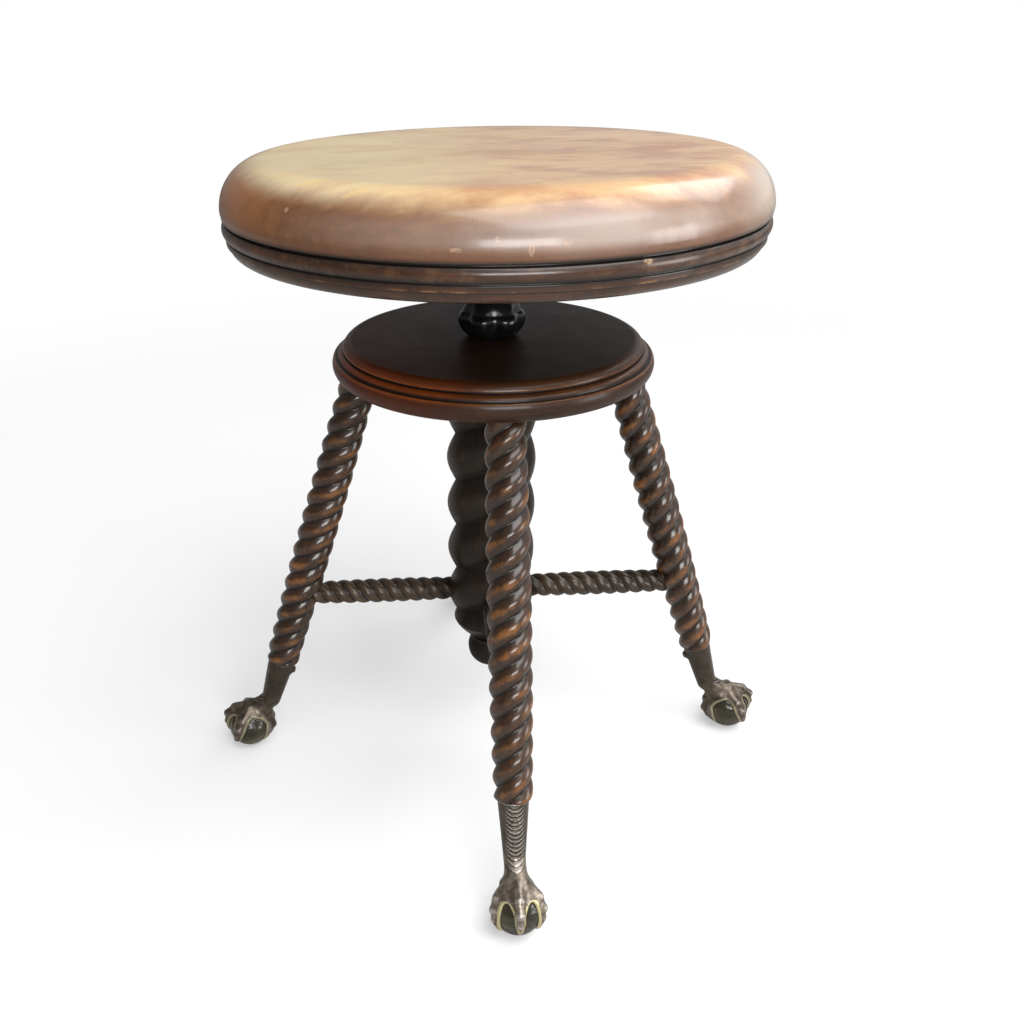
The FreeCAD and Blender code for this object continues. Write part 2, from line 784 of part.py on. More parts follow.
# Claw feet: a tapered socket, a neck that kicks out, and four toes over a glass ball
ball_centre = Vector(0, -size["foot_offset"], size["ball_radius"])
shank_length = (size["leg_end_height"] - size["claw_ankle_height"]) / math.cos(splay)
ankle = wood_end - up_leg * shank_length
to_ball = ball_centre - ankle
TOE_POLAR_ANGLES = (22, 55, 86, 112, 134)
TOE_SWELL = (1.0, 0.88, 1.0, 0.76)


def circle_wire(centre, normal, radius):
    return Part.Wire([Part.Circle(centre, normal, radius).toShape()])


def toe(direction):
    """A toe that hugs the ball, from near its top round to under its middle."""
    reach = size["ball_radius"] + size["claw_wall"] / 2
    radii = [size["toe_radius"] * share for share in TOE_SWELL] + [size["toe_tip_radius"]]
    rings = []
    for degrees, radius in zip(TOE_POLAR_ANGLES, radii):
        angle = math.radians(degrees)
        centre = ball_centre + direction * (reach * math.sin(angle)) + UP * (reach * math.cos(angle))
        rings.append(circle_wire(centre, direction * math.cos(angle) - UP * math.sin(angle), radius))
    return Part.makeLoft(rings, True, False)


shank = Part.makeCone(
    size["claw_ankle_radius"], size["claw_socket_radius"], shank_length, ankle, up_leg
)
neck = Part.makeLoft(
    [
        circle_wire(ankle, up_leg * -1, size["claw_ankle_radius"]),
        circle_wire(ankle + to_ball * 0.3, to_ball - up_leg * 10, size["claw_ankle_radius"] + 2.2),
        circle_wire(ankle + to_ball * 0.6, to_ball, size["claw_ankle_radius"] + 6),
    ],
    True,
    False,
)
cap_direction = (UP * to_ball.Length - to_ball).normalize()
cap = Part.makeSphere(
    size["ball_radius"] + size["claw_wall"], ball_centre, cap_direction, 35, 90, 360
)
claw = shank.fuse([neck, cap])
for direction in (Vector(0, -1, 0), Vector(1, 0, 0), Vector(0, 1, 0), Vector(-1, 0, 0)):
    claw = claw.fuse(toe(direction))
claw = claw.cut(Part.makeSphere(size["ball_radius"] + glue, ball_centre))
claw = claw.cut(
    cylinder(size["leg_peg_radius"] + glue, leg_peg_end - up_leg * glue, wood_end + up_leg)
)
claw = claw.cut(
    cylinder(size["foot_screw_radius"] + glue, screw_level, screw_seat + to_post * OVERRUN)
)
for quarter, side in enumerate(SIDES):
    add_feature(f"claw_{side}", claw, quarter)
    ball = Part.makeSphere(size["ball_radius"], ball_centre)
    add_feature(f"glass_ball_{side}", ball, quarter)

# Screws: one through each claw's socket, and eight up through the spider into the seat
foot_screw = cylinder(size["foot_screw_radius"], screw_tip, screw_seat + to_post * 2)
foot_head = Part.makeCone(
    size["foot_screw_head"], size["foot_screw_radius"], 1.4, screw_seat + to_post * 0.8, to_post
)
foot_screw = foot_screw.fuse(foot_head)
foot_screws = []
for quarter in range(4):
    turned_screw = foot_screw.copy()
    turned_screw.rotate(Vector(), UP, 90 * quarter)
    foot_screws.append(turned_screw)
add_feature("foot_screws", Part.makeCompound(foot_screws))

spider_screws = []
for offset in (size["spider_inner_screw"], size["spider_outer_screw"]):
    foot = Vector(offset, 0, size["spider_bottom"] + glue)
    head = Part.makeCone(size["screw_head_radius"], size["screw_radius"], size["screw_sink"], foot, UP)
    screw = head.fuse(cylinder(size["screw_radius"], foot, foot + UP * size["screw_length"]))
    for quarter in range(4):
        turned_screw = screw.copy()
        turned_screw.rotate(Vector(), UP, 90 * quarter)
        spider_screws.append(turned_screw)
add_feature("spider_screws", Part.makeCompound(spider_screws))

# Check every object, then write one file for each piece
doc.recompute()
for item in doc.Objects:
    if "Invalid" in item.State or "Error" in item.State:
        raise RuntimeError(f"{item.Label} failed: {item.State}")
body_kinds = ("PartDesign::Body", "Part::Cylinder", "Part::Feature")
pieces = [item for item in doc.Objects if item.TypeId in body_kinds]
for piece in pieces:
    if piece.Shape.isNull() or not piece.Shape.isValid():
        raise RuntimeError(f"{piece.Label} has no valid solid")
    solids = len(piece.Shape.Solids)
    print(piece.Label, solids, "solids", len(piece.Shape.Faces), "faces", round(piece.Shape.Volume))
for piece in pieces:
    piece.Shape.exportStep(f"parts/{piece.Label}.step")
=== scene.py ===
import math

import bpy
import numpy as np
from mathutils import Matrix, Vector


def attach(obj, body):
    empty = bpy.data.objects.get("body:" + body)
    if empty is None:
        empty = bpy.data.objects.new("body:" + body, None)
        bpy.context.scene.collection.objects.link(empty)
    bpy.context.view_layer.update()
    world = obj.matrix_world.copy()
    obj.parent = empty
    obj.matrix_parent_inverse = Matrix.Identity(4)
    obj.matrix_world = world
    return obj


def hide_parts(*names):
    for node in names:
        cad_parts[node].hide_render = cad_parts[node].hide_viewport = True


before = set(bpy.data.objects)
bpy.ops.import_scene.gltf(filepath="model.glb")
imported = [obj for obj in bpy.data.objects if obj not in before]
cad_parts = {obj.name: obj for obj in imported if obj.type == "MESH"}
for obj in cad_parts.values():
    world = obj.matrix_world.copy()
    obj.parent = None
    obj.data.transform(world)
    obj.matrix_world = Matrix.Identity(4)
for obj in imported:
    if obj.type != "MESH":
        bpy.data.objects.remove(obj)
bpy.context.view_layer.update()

MM = 0.001
QUARTERS = ("front", "right", "rear", "left")

# Sizes in millimetres, as in the part
SEAT_BOTTOM = 411.0
SEAT_BAND_TOP = 433.1
SEAT_TOP = 468.0
SEAT_RADIUS = 177.8
DISC_TOP = 344.0
DISC_BOTTOM = 320.0
DISC_RADIUS = 110.6
SPLAY = math.radians(17.4)
LEG_TOP_OFFSET = 91.8
LEG_END = 80.0
LEG_RADIUS = 13.0
LEG_SWELL = 1.6
LEG_GROOVE = 2.7
LEG_LEAD = 45.0
POST_END = 98.0
POST_TAPER = 20.0
POST_RADIUS = 32.6
POST_END_RADIUS = 15.5
POST_GROOVE = 6.2
POST_LEAD = 74.6
STRETCHER_HEIGHT = 140.0
STRETCHER_START = 25.4
STRETCHER_RADIUS = 8.6
STRETCHER_SWELL = 0.8
STRETCHER_GROOVE = 1.8
STRETCHER_LEAD = 31.0
FOOT_OFFSET = 198.3
BALL_RADIUS = 17.0
NUT_BOTTOM = 300.0
NUT_TOP = 371.0
HUB_BOTTOM = 371.3
SPINDLE_BOTTOM = 189.93
SPINDLE_TOP = 408.3
THREAD_LEAD = 8.467


# Meshes
PROFILE_STEP = 0.1
PROFILE_TOLERANCE = 0.012
LONGEST_SPAN = 8.0
WEAR_REACH = 1.2
ON_AXIS = 1e-6


def closed_rings(rings, around):
    """Quads between rings of points, each ring closed on itself."""
    ring = np.arange(rings - 1)[:, None] * around
    step = np.arange(around)[None, :]
    following = (step + 1) % around
    corners = [ring + step, ring + following, ring + around + following, ring + around + step]
    return np.stack(corners, axis=-1).reshape(-1, 4).tolist()


def new_object(name, data):
    """An object in the scene's own collection."""
    made = bpy.data.objects.new(name, data)
    bpy.context.scene.collection.objects.link(made)
    return made


def new_piece(name, points, faces, material, body, replaced, wear=None, grain=None):
    """A smooth mesh from points in millimetres that rides on a body and stands for CAD nodes."""
    mesh = bpy.data.meshes.new(name)
    mesh.from_pydata((points * MM).tolist(), [], faces)
    mesh.shade_smooth()
    if wear is not None:
        layer = mesh.attributes.new("wear", "FLOAT", "POINT")
        layer.data.foreach_set("value", np.asarray(wear, dtype=np.float32))
    if grain is not None:
        layer = mesh.attributes.new("grain", "FLOAT_VECTOR", "POINT")
        layer.data.foreach_set("vector", np.asarray(grain, dtype=np.float32).reshape(-1))
    mesh.materials.append(material)
    mesh.validate()
    mesh.update()
    piece = new_object(name, mesh)
    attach(piece, body)
    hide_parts(*replaced)


def turned(points, quarter):
    """Turn points by quarter turns round the upright axis."""
    cos, sin = math.cos(quarter * math.pi / 2), math.sin(quarter * math.pi / 2)
    return points @ np.array([[cos, sin, 0], [-sin, cos, 0], [0, 0, 1]])


def arc_points(start, end, radius, left):
    """Points along the short arc from start to end, without the start."""
    start = np.array(start, dtype=float)
    end = np.array(end, dtype=float)
    chord = end - start
    length = np.hypot(*chord)
    across = np.array([-chord[1], chord[0]]) / length
    rise = math.sqrt(max(radius**2 - length**2 / 4, 0.0))
    centre = (start + end) / 2 + across * (rise if left else -rise)
    first = math.atan2(*(start - centre)[::-1])
    sweep = 2 * math.asin(min(1.0, length / 2 / radius)) * (1 if left else -1)
    count = max(3, int(abs(sweep) * radius / 0.15))
    angles = first + sweep * np.arange(1, count + 1) / count
    return centre + radius * np.stack([np.cos(angles), np.sin(angles)], axis=-1)


def softened(values, sigma, spacing):
    """Smooth rows of values along a line, with the ends held."""
    reach = int(3 * sigma / spacing) + 1
    kernel = np.exp(-0.5 * (np.arange(-reach, reach + 1) * spacing / sigma) ** 2)
    kernel /= kernel.sum()
    before = 2 * values[:1] - values[reach:0:-1]
    after = 2 * values[-1:] - values[-2 : -reach - 2 : -1]
    padded = np.concatenate([before, values, after])
    return np.stack([np.convolve(column, kernel, "valid") for column in padded.T], axis=-1)


def thinned(rows, tolerance, longest):
    """Indices of the rows that a polyline needs to stay within a tolerance."""
    keep = {0, len(rows) - 1}
    spans = [(0, len(rows) - 1)]
    while spans:
        low, high = spans.pop()
        if high - low < 2:
            continue
        line = rows[high] - rows[low]
        length = np.linalg.norm(line)
        inner = rows[low + 1 : high] - rows[low]
        share = np.clip(inner @ line / max(length**2, 1e-9), 0, 1)
        away = np.linalg.norm(inner - share[:, None] * line, axis=1)
        if away.max() > tolerance or length > longest:
            middle = low + 1 + int(away.argmax()) if away.max() > tolerance else (low + high) // 2
            keep.add(middle)
            spans += [(low, middle), (middle, high)]
    return sorted(keep)


def polyline(outline):
    """Points along an outline of (radius, height) or (radius, height, arc radius, side) points."""
    line = [np.array(outline[0][:2], dtype=float)[None]]
    for before, point in zip(outline, outline[1:]):
        if len(point) == 2:
            line.append(np.array(point, dtype=float)[None])
        else:
            line.append(arc_points(before[:2], point[:2], point[2], point[3] == "left"))
    return np.concatenate(line)


def evened(line, count=0):
    """Evenly spaced points on the same line, and how far apart they are."""
    along = np.concatenate([[0], np.cumsum(np.linalg.norm(np.diff(line, axis=0), axis=1))])
    even = np.linspace(0, along[-1], count or int(along[-1] / PROFILE_STEP) + 1)
    return np.stack([np.interp(even, along, column) for column in line.T], axis=-1), even[1]


def circle(around):
    """Angles of evenly spaced points round a ring."""
    return 2 * math.pi * np.arange(around) / around


def level_ring(radius, height, angles):
    """Points round the upright axis at one height."""
    level = np.full(len(angles), height)
    return np.column_stack([np.cos(angles) * radius, np.sin(angles) * radius, level])


def lathe(name, outline, around, material, body, replaced, closed=False, edge=0.3):
    """Turn an outline into a piece, with its corners eased and its wear worked out from them."""
    if closed:
        outline = [*outline, outline[0][:2]]
    line, _ = evened(polyline(outline))
    soft = softened(line, edge, PROFILE_STEP)
    soft[:, 0] = np.maximum(soft[:, 0], 0)
    wide = softened(soft, WEAR_REACH, PROFILE_STEP)
    ahead = np.gradient(soft, axis=0)
    normal = np.stack([ahead[:, 1], -ahead[:, 0]], axis=-1)
    normal /= np.maximum(np.linalg.norm(normal, axis=1, keepdims=True), 1e-9)
    wear = np.clip(((soft - wide) * normal).sum(axis=1) * 2.5, -1, 1)
    rows = thinned(np.column_stack([soft, wear * 0.3]), PROFILE_TOLERANCE, LONGEST_SPAN)
    profile = soft[rows]
    wear = wear[rows]
    inner = [index for index in range(len(profile)) if profile[index, 0] > ON_AXIS]
    points = np.concatenate([level_ring(*profile[index], circle(around)) for index in inner])
    worn = np.repeat(wear[inner], around)
    faces = closed_rings(len(inner), around)
    steps = np.arange(around)
    following = (steps + 1) % around
    top = (len(inner) - 1) * around
    for end, edge_points in ((0, (following, steps)), (-1, (top + steps, top + following))):
        if profile[end, 0] <= ON_AXIS:
            pole = np.full(around, len(points))
            points = np.vstack([points, [0, 0, profile[end, 1]]])
            worn = np.append(worn, wear[end])
            faces += np.stack([pole, *edge_points], axis=-1).tolist()
    grain = points[:, [1, 2, 0]]
    new_piece(name, points, faces, material, body, replaced, worn, grain)


def even_heights(length):
    """Level rings, evenly spaced along a length, for a twist."""

    def heights(share, angle_of, swell):
        return np.repeat((share * length)[:, None], len(swell), axis=1)

    return heights


def twist(height_at, lead, starts, crest_at, groove_at, phase, per_strand, spacing, length):
    """A right-handed twist along +Z, closed at both ends: points, faces and share of crest."""
    rings = int(length / spacing) + 1
    around = starts * per_strand
    step = np.arange(around)
    swell = np.abs(np.sin(math.pi * step / per_strand))
    angle_of = 2 * math.pi * step / around + phase
    share = np.arange(rings) / (rings - 1)
    height = height_at(share, angle_of, swell)
    radius = crest_at(height) - groove_at(height) * (1 - swell)
    angle = angle_of + 2 * math.pi * height / lead
    points = np.stack([radius * np.cos(angle), radius * np.sin(angle), height], axis=-1)
    wear = np.broadcast_to(swell, height.shape).reshape(-1)
    return capped(points.reshape(-1, 3), wear, around)


def capped(points, wear, around):
    """A stack of rings closed by a fan at both ends: points, faces and wear."""
    first = points[:around].mean(axis=0)
    last = points[-around:].mean(axis=0)
    count = len(points)
    steps = np.arange(around)
    following = (steps + 1) % around
    top = count - around
    low_fan = np.stack([np.full(around, count), following, steps], axis=-1)
    high_fan = np.stack([top + steps, top + following, np.full(around, count + 1)], axis=-1)
    faces = closed_rings(count // around, around) + low_fan.tolist() + high_fan.tolist()
    return np.vstack([points, first, last]), faces, np.append(wear, [0.3, 0.3])


# Shader graphs
class Graph:
    """The nodes of a new material, or of a world, and short ways to add and link them."""

    def __init__(self, name, world=None):
        self.owner = world or bpy.data.materials.new(name)
        self.owner.use_nodes = True
        self.tree = self.owner.node_tree
        self.tree.nodes.clear()

    def node(self, kind, inputs=None, output=0, **settings):
        """Add a node with its inputs linked or set, and return one of its outputs."""
        made = self.tree.nodes.new("ShaderNode" + kind)
        for key, value in settings.items():
            setattr(made, key, value)
        for key, value in (inputs or {}).items():
            if isinstance(value, bpy.types.NodeSocket):
                self.tree.links.new(value, made.inputs[key])
            else:
                made.inputs[key].default_value = value
        return made.outputs[output] if made.outputs else None

    def attribute(self, name, output="Fac"):
        return self.node("Attribute", attribute_name=name, output=output)

    def object_place(self):
        return self.node("TexCoord", output="Object")

    def millimetres(self):
        """The point of the piece in millimetres, as in the part."""
        return self.mapped(self.object_place(), scale=(1000, 1000, 1000))

    def axis(self, vector, letter):
        return self.node("SeparateXYZ", {"Vector": vector}, output=letter)

    def length(self, vector):
        return self.node("VectorMath", {0: vector}, output="Value", operation="LENGTH")

    def mapped(self, coords, scale=(1, 1, 1), offset=(0, 0, 0), turn=(0, 0, 0)):
        inputs = {"Vector": coords, "Scale": scale, "Location": offset, "Rotation": turn}
        return self.node("Mapping", inputs)

    def noise(self, coords, scale, detail=4.0, roughness=0.55, distortion=0.0):
        inputs = {"Vector": coords, "Scale": scale, "Detail": detail}
        inputs["Roughness"] = roughness
        inputs["Distortion"] = distortion
        return self.node("TexNoise", inputs)

    def math(self, operation, first, second=0.0, third=0.0):
        return self.node("Math", {0: first, 1: second, 2: third}, operation=operation)

    def times(self, first, second):
        return self.math("MULTIPLY", first, second)

    def scaled(self, value, scale, offset):
        return self.math("MULTIPLY_ADD", value, scale, offset)

    def seen(self):
        """1 for what the camera sees, also through glass, and 0 for the light on the object."""
        camera_ray = self.node("LightPath", output="Is Camera Ray")
        glass_ray = self.node("LightPath", output="Is Transmission Ray")
        return self.math("MAXIMUM", camera_ray, glass_ray)

    def span(self, value, low, high, to_low=0.0, to_high=1.0, smooth=True):
        """A value from low to high, turned into one between two others, with eased ends."""
        inputs = {"Value": value, "From Min": low, "From Max": high}
        inputs["To Min"] = to_low
        inputs["To Max"] = to_high
        kind = "SMOOTHSTEP" if smooth else "LINEAR"
        return self.node("MapRange", inputs, interpolation_type=kind)

    def level(self, value, middle, inner, outer, far=0.0):
        """1 where a value is within an inner distance of its middle, falling off to an outer one."""
        away = self.math("ABSOLUTE", self.math("SUBTRACT", value, middle))
        return self.span(away, inner, outer, 1.0, far)

    def mix(self, factor, first, second):
        inputs = {0: factor, 6: first, 7: second}
        return self.node("Mix", inputs, output=2, data_type="RGBA")

    def ramp(self, value, stops):
        stops = list(stops)
        made = self.tree.nodes.new("ShaderNodeValToRGB")
        ramp = made.color_ramp
        while len(ramp.elements) < len(stops):
            ramp.elements.new(0.5)
        for element, (place, tone) in zip(ramp.elements, stops):
            element.position = place
            element.color = tone
        self.tree.links.new(value, made.inputs["Fac"])
        return made.outputs["Color"]

    def bump(self, height, strength, distance):
        inputs = {"Height": height, "Strength": strength, "Distance": distance}
        return self.node("Bump", inputs)

    def varnished(self, base, rough, normal, coat, specular):
        inputs = {"Base Color": base, "Roughness": rough, "Normal": normal, "Coat Weight": coat}
        inputs["Coat Roughness"] = 0.16
        inputs["Specular IOR Level"] = specular
        return self.finish(inputs)

    def finish(self, inputs):
        shader = self.node("BsdfPrincipled", inputs)
        self.node("OutputMaterial", {"Surface": shader})
        return self.owner


def colour(red, green, blue):
    """Linear colour from 0 to 255 screen values."""
    linear = []
    for value in (red / 255, green / 255, blue / 255):
        linear.append(value / 12.92 if value <= 0.04045 else ((value + 0.055) / 1.055) ** 2.4)
    return (*linear, 1.0)


def grain_tone(g, grain, streak=0.35, pores=1.5, figure=0.03):
    """Grain from 0 to 1, of long streaks over a broad figure, and its fine pores."""
    long_way = g.mapped(grain, scale=(1, 1, 0.06))
    streaks = g.noise(long_way, streak, detail=5.0, roughness=0.6, distortion=0.3)
    fine = g.noise(g.mapped(grain, scale=(1, 1, 0.035)), pores, detail=2.0, roughness=0.5)
    broad = g.noise(g.mapped(grain, scale=(1, 1, 0.25)), figure, detail=3.0, roughness=0.5)
    tone = g.scaled(streaks, 0.55, g.times(broad, 0.45))
    return tone, fine


def turned_wood(name, tones, worn, hollow_and_shade_tone, worn_from, gloss, sheen, shade=None, blush=None):
    """Varnished turned wood: grain along the piece, darker in the hollows, wear on the crests, and
    painted shade where a shade mask is given.
    """
    g = Graph(name)
    place = g.millimetres()
    grain = g.attribute("grain", "Vector")
    wear = g.attribute("wear")
    tone, fine = grain_tone(g, grain)
    base = g.ramp(tone, zip((0.32, 0.5, 0.68), tones))
    if blush is not None:
        base = blush(g, place, base)
    patches = g.noise(grain, 0.045, detail=5.0, roughness=0.65)
    worn_share = g.math("ADD", wear, g.scaled(patches, 1.6, -0.8))
    worn_mask = g.span(worn_share, worn_from, worn_from + 0.5)
    tinted = g.mix(g.times(worn_mask, 0.8), base, g.mix(fine, worn, tones[2]))
    hollow = g.span(wear, 0.0, 0.5, 1.0, 0.0)
    hollow_and_shade_darkened = g.mix(g.times(hollow, 0.95), tinted, hollow_and_shade_tone)
    coat = sheen
    # A shade mask marks painted shade: colour darkened and coat shine lowered where the piece sits in
    # shadow
    if shade is not None:
        shaded = shade(g, place)
        hollow_and_shade_darkened = g.mix(shaded, hollow_and_shade_darkened, g.mix(0.3, hollow_and_shade_tone, base))
        coat = g.span(shaded, 0.0, 0.5, sheen, sheen * 0.25, smooth=False)
    rough = g.scaled(patches, 0.25, gloss - 0.08)
    rough = g.scaled(hollow, 0.25, rough)
    height = g.scaled(fine, 0.35, g.times(patches, 0.65))
    normal = g.bump(height, 0.35, 0.0006)
    return g.varnished(hollow_and_shade_darkened, rough, normal, coat=coat, specular=0.25)


def near(g, place, centre, size, stretch):
    """1 at a point of the piece, in millimetres, and 0 beyond a size from it."""
    away = g.node("VectorMath", {0: place, 1: centre}, operation="SUBTRACT")
    away = g.node("VectorMath", {0: away, 1: stretch}, operation="MULTIPLY")
    return g.span(g.length(away), size * 0.5, size, 1.0, 0.0)


def seat_wood():
    """Old seat varnish: worn pale on the top, red-brown on the rim, dark below, nicked in front, with
    painted reflection, glare, sheen and groove shade.
    """
    g = Graph("seat_wood_varnish")
    grain = g.attribute("grain", "Vector")
    wear = g.attribute("wear")
    place = g.millimetres()
    tone, fine = grain_tone(g, grain, streak=0.16, pores=0.9, figure=0.012)
    flat = g.mapped(place, scale=(1, 1, 0))
    height = g.axis(place, "Z")
    forward = g.axis(place, "Y")
    radius = g.length(flat)
    sideways = g.axis(place, "X")
    rim_tones = (colour(82, 48, 24), colour(112, 70, 38), colour(142, 96, 58))
    lower_tones = (colour(38, 22, 12), colour(64, 38, 21), colour(98, 60, 34))
    rubbed_tones = (colour(176, 136, 96), colour(196, 156, 112), colour(208, 172, 126))
    rim = g.ramp(tone, zip(GRAIN_STOPS, rim_tones))
    lower = g.ramp(tone, zip(GRAIN_STOPS, lower_tones))
    rubbed_and_reflection = g.ramp(tone, zip(GRAIN_STOPS, rubbed_tones))
    clouds = g.noise(flat, 0.013, detail=5.0, roughness=0.6, distortion=0.8)
    across = g.mapped(flat, scale=(0.6, 1, 1), offset=(3, 1, 0))
    faded = g.noise(across, 0.022, detail=6.0, roughness=0.65)
    # The top is olive on the left, partly faded wood and partly a painted reflection of a bright window;
    # tan in clouds; and pale down to the shoulder, the part over the shoulder being a painted reflection
    leftward = g.scaled(clouds, 160.0, g.times(sideways, -1.0))
    olive_and_reflection = g.span(leftward, 40.0, 190.0, 0.0, 0.85)
    rubbed_and_reflection = g.mix(olive_and_reflection, rubbed_and_reflection, colour(214, 194, 146))
    tan = g.span(leftward, 20.0, 150.0, 0.85, 0.3)
    tan = g.times(g.span(faded, 0.44, 0.62), tan)
    rubbed_and_reflection = g.mix(tan, rubbed_and_reflection, colour(164, 112, 80))
    # Painted reflection: the pale of the top is carried down over the shoulder
    shoulder = g.scaled(height, -0.9, radius)
    shoulder = g.scaled(forward, 0.085, shoulder)
    shoulder = g.scaled(faded, 26.0, shoulder)
    pale = g.span(shoulder, -260.0, -234.0, 1.0, 0.0)
    # The rim is ruddy at the left, with painted glare in a band in front and at the right, and dark at
    # its foot
    ruddy = g.span(sideways, -172.0, -120.0, 0.7, 0.0)
    rim = g.mix(ruddy, rim, colour(186, 122, 72))
    # Painted glare: a pale band round the front highlight
    painted_glare = g.span(forward, -178.0, -100.0, 1.0, 0.0)
    painted_glare = g.times(painted_glare, g.span(sideways, -80.0, 90.0, 0.3, 0.85))
    painted_glare = g.times(painted_glare, g.span(faded, 0.3, 0.6, 0.6, 1.0))
    painted_glare = g.times(painted_glare, g.level(height, SEAT_PAINTED_GLARE_HEIGHT, 3.0, 12.0, far=0.3))
    rim = g.mix(painted_glare, rim, colour(180, 166, 156))
    # Painted glare on the right of the rim
    painted_right_glare = g.span(sideways, 110.0, 165.0, 0.0, 0.65)
    rim = g.mix(painted_right_glare, rim, colour(216, 204, 190))
    skirt = g.scaled(faded, 12.0, height)
    skirt = g.span(skirt, 440.0, 450.0, 0.6, 0.0)
    rim = g.mix(skirt, rim, colour(104, 62, 36))
    # Painted sheen: the top of the shoulder is lighter on the left
    bright = g.span(height, 462.0, 467.8, 0.6, 0.0)
    bright = g.times(bright, g.span(sideways, -130.0, -30.0, 1.0, 0.1))
    rubbed_and_reflection = g.mix(bright, rubbed_and_reflection, colour(220, 198, 172))
    base = g.mix(pale, rim, rubbed_and_reflection)
    # Thin pale streaks and small dark stains on the top
    streaks = g.noise(g.mapped(place, scale=(0.12, 1, 1), turn=(0, 0, 0.05)), 0.13, detail=4.0)
    streak_mask = g.times(g.span(streaks, 0.6, 0.68), pale)
    base = g.mix(g.times(streak_mask, 0.45), base, colour(226, 186, 112))
    stains = g.noise(g.mapped(place, scale=(0.2, 1, 1), offset=(40, 7, 0)), 0.09, detail=4.0)
    stain_mask = g.times(g.span(stains, 0.64, 0.72), pale)
    base = g.mix(g.times(stain_mask, 0.5), base, colour(120, 92, 74))
    # Dark mouldings, worn on their edges, darker in the hollows, with painted shade in and around the
    # grooves
    mouldings = g.span(height, SEAT_BAND_TOP - 3.1, SEAT_BAND_TOP + 0.9, 1.0, 0.0)
    base = g.mix(mouldings, base, lower)
    edge = g.span(wear, 0.12, 0.5)
    rub = g.noise(place, 0.07, detail=6.0, roughness=0.7)
    worn = g.times(edge, g.span(rub, 0.46, 0.66, 0.0, 0.55))
    base = g.mix(worn, base, colour(150, 108, 70))
    hollow = g.span(wear, -0.45, -0.05, 1.0, 0.0)
    # Painted shade: dark bands at the grooves' heights, wider than the grooves themselves
    groove = g.level(height, SEAT_GROOVE_HEIGHT, 1.0, 3.8)
    groove = g.math("MAXIMUM", groove, g.level(height, SEAT_FINE_GROOVE_HEIGHT, 0.9, 3.2))
    hollow = g.math("MAXIMUM", g.times(hollow, 0.95), g.times(groove, 0.88))
    base = g.mix(hollow, base, colour(24, 14, 8))
    under = g.span(height, SEAT_BOTTOM + 0.4, SEAT_BOTTOM + 2.0, 1.0, 0.0)
    base = g.mix(g.times(under, 0.9), base, colour(44, 30, 20))
    nicks = None
    for centre, size, stretch in SEAT_NICKS:
        nick = near(g, place, centre, size, stretch)
        nicks = nick if nicks is None else g.math("MAXIMUM", nicks, nick)
    nicks = g.times(nicks, g.span(g.noise(place, 0.8), 0.38, 0.5))
    base = g.mix(g.times(nicks, 0.4), base, colour(206, 172, 138))
    rough = g.span(clouds, 0.3, 0.7, 0.26, 0.4)
    rough = g.scaled(faded, 0.14, g.math("SUBTRACT", rough, 0.06))
    rough = g.scaled(hollow, 0.3, rough)
    relief = g.scaled(fine, 0.3, g.times(faded, 0.7))
    relief = g.math("SUBTRACT", relief, nicks)
    normal = g.bump(relief, 0.16, 0.0006)
    return g.varnished(base, rough, normal, coat=0.6, specular=0.35)


def cast_metal(name, dark, light, bright, roughness, metallic, bump_size):
    """Cast metal with a dark patina in the hollows and bare metal on the worn edges."""
    g = Graph(name)
    wear = g.attribute("wear")
    place = g.millimetres()
    cloud = g.noise(place, 0.12, detail=6.0, roughness=0.65)
    grit = g.noise(place, 1.4, detail=3.0, roughness=0.6)
    base = g.mix(g.span(cloud, 0.35, 0.65), dark, light)
    raised = g.span(g.scaled(cloud, 0.4, wear), 0.45, 1.0)
    base = g.mix(raised, base, bright)
    rough = g.scaled(cloud, 0.2, roughness - 0.1)
    rough = g.scaled(raised, -0.08, rough)
    normal = g.bump(g.scaled(grit, 0.6, cloud), 0.3, bump_size)
    return g.finish({"Base Color": base, "Roughness": rough, "Metallic": metallic, "Normal": normal})


def claw_bronze():
    """Dark bronze finish, greyer on the raised forms and worn to brass beside the glass."""
    g = Graph("claw_metal_bronze")
    wear = g.attribute("wear")
    grain = g.attribute("grain", "Vector")
    rim = g.axis(grain, "X")
    place = g.millimetres()
    cloud = g.noise(place, 0.16, detail=6.0, roughness=0.65)
    grit = g.noise(place, 1.3, detail=4.0, roughness=0.6)
    base = g.mix(g.span(cloud, 0.35, 0.65), colour(92, 82, 72), colour(150, 138, 124))
    height = g.axis(place, "Z")
    shank = g.span(height, 38.0, 50.0, 0.0, 0.75)
    base = g.mix(shank, base, colour(66, 63, 56))
    raised = g.span(g.scaled(grit, 0.3, wear), 0.25, 0.8)
    base = g.mix(g.times(raised, 0.75), base, colour(214, 206, 200))
    hollow = g.span(wear, -0.6, -0.05, 1.0, 0.0)
    base = g.mix(g.times(hollow, 0.8), base, colour(30, 24, 18))
    brass = g.span(g.scaled(cloud, 0.5, rim), 0.6, 1.0)
    forward = g.axis(place, "Y")
    # The front claw is brighter than the others
    others = g.span(forward, -120.0, -60.0)
    base = g.mix(g.times(others, 0.55), base, colour(54, 44, 32))
    bared = g.scaled(others, -0.5, 0.85)
    base = g.mix(g.times(brass, bared), base, colour(208, 198, 148))
    rough = g.scaled(cloud, 0.25, 0.2)
    normal = g.bump(g.scaled(grit, 0.5, cloud), 0.3, 0.0004)
    return g.finish({"Base Color": base, "Roughness": rough, "Metallic": 0.65, "Normal": normal})


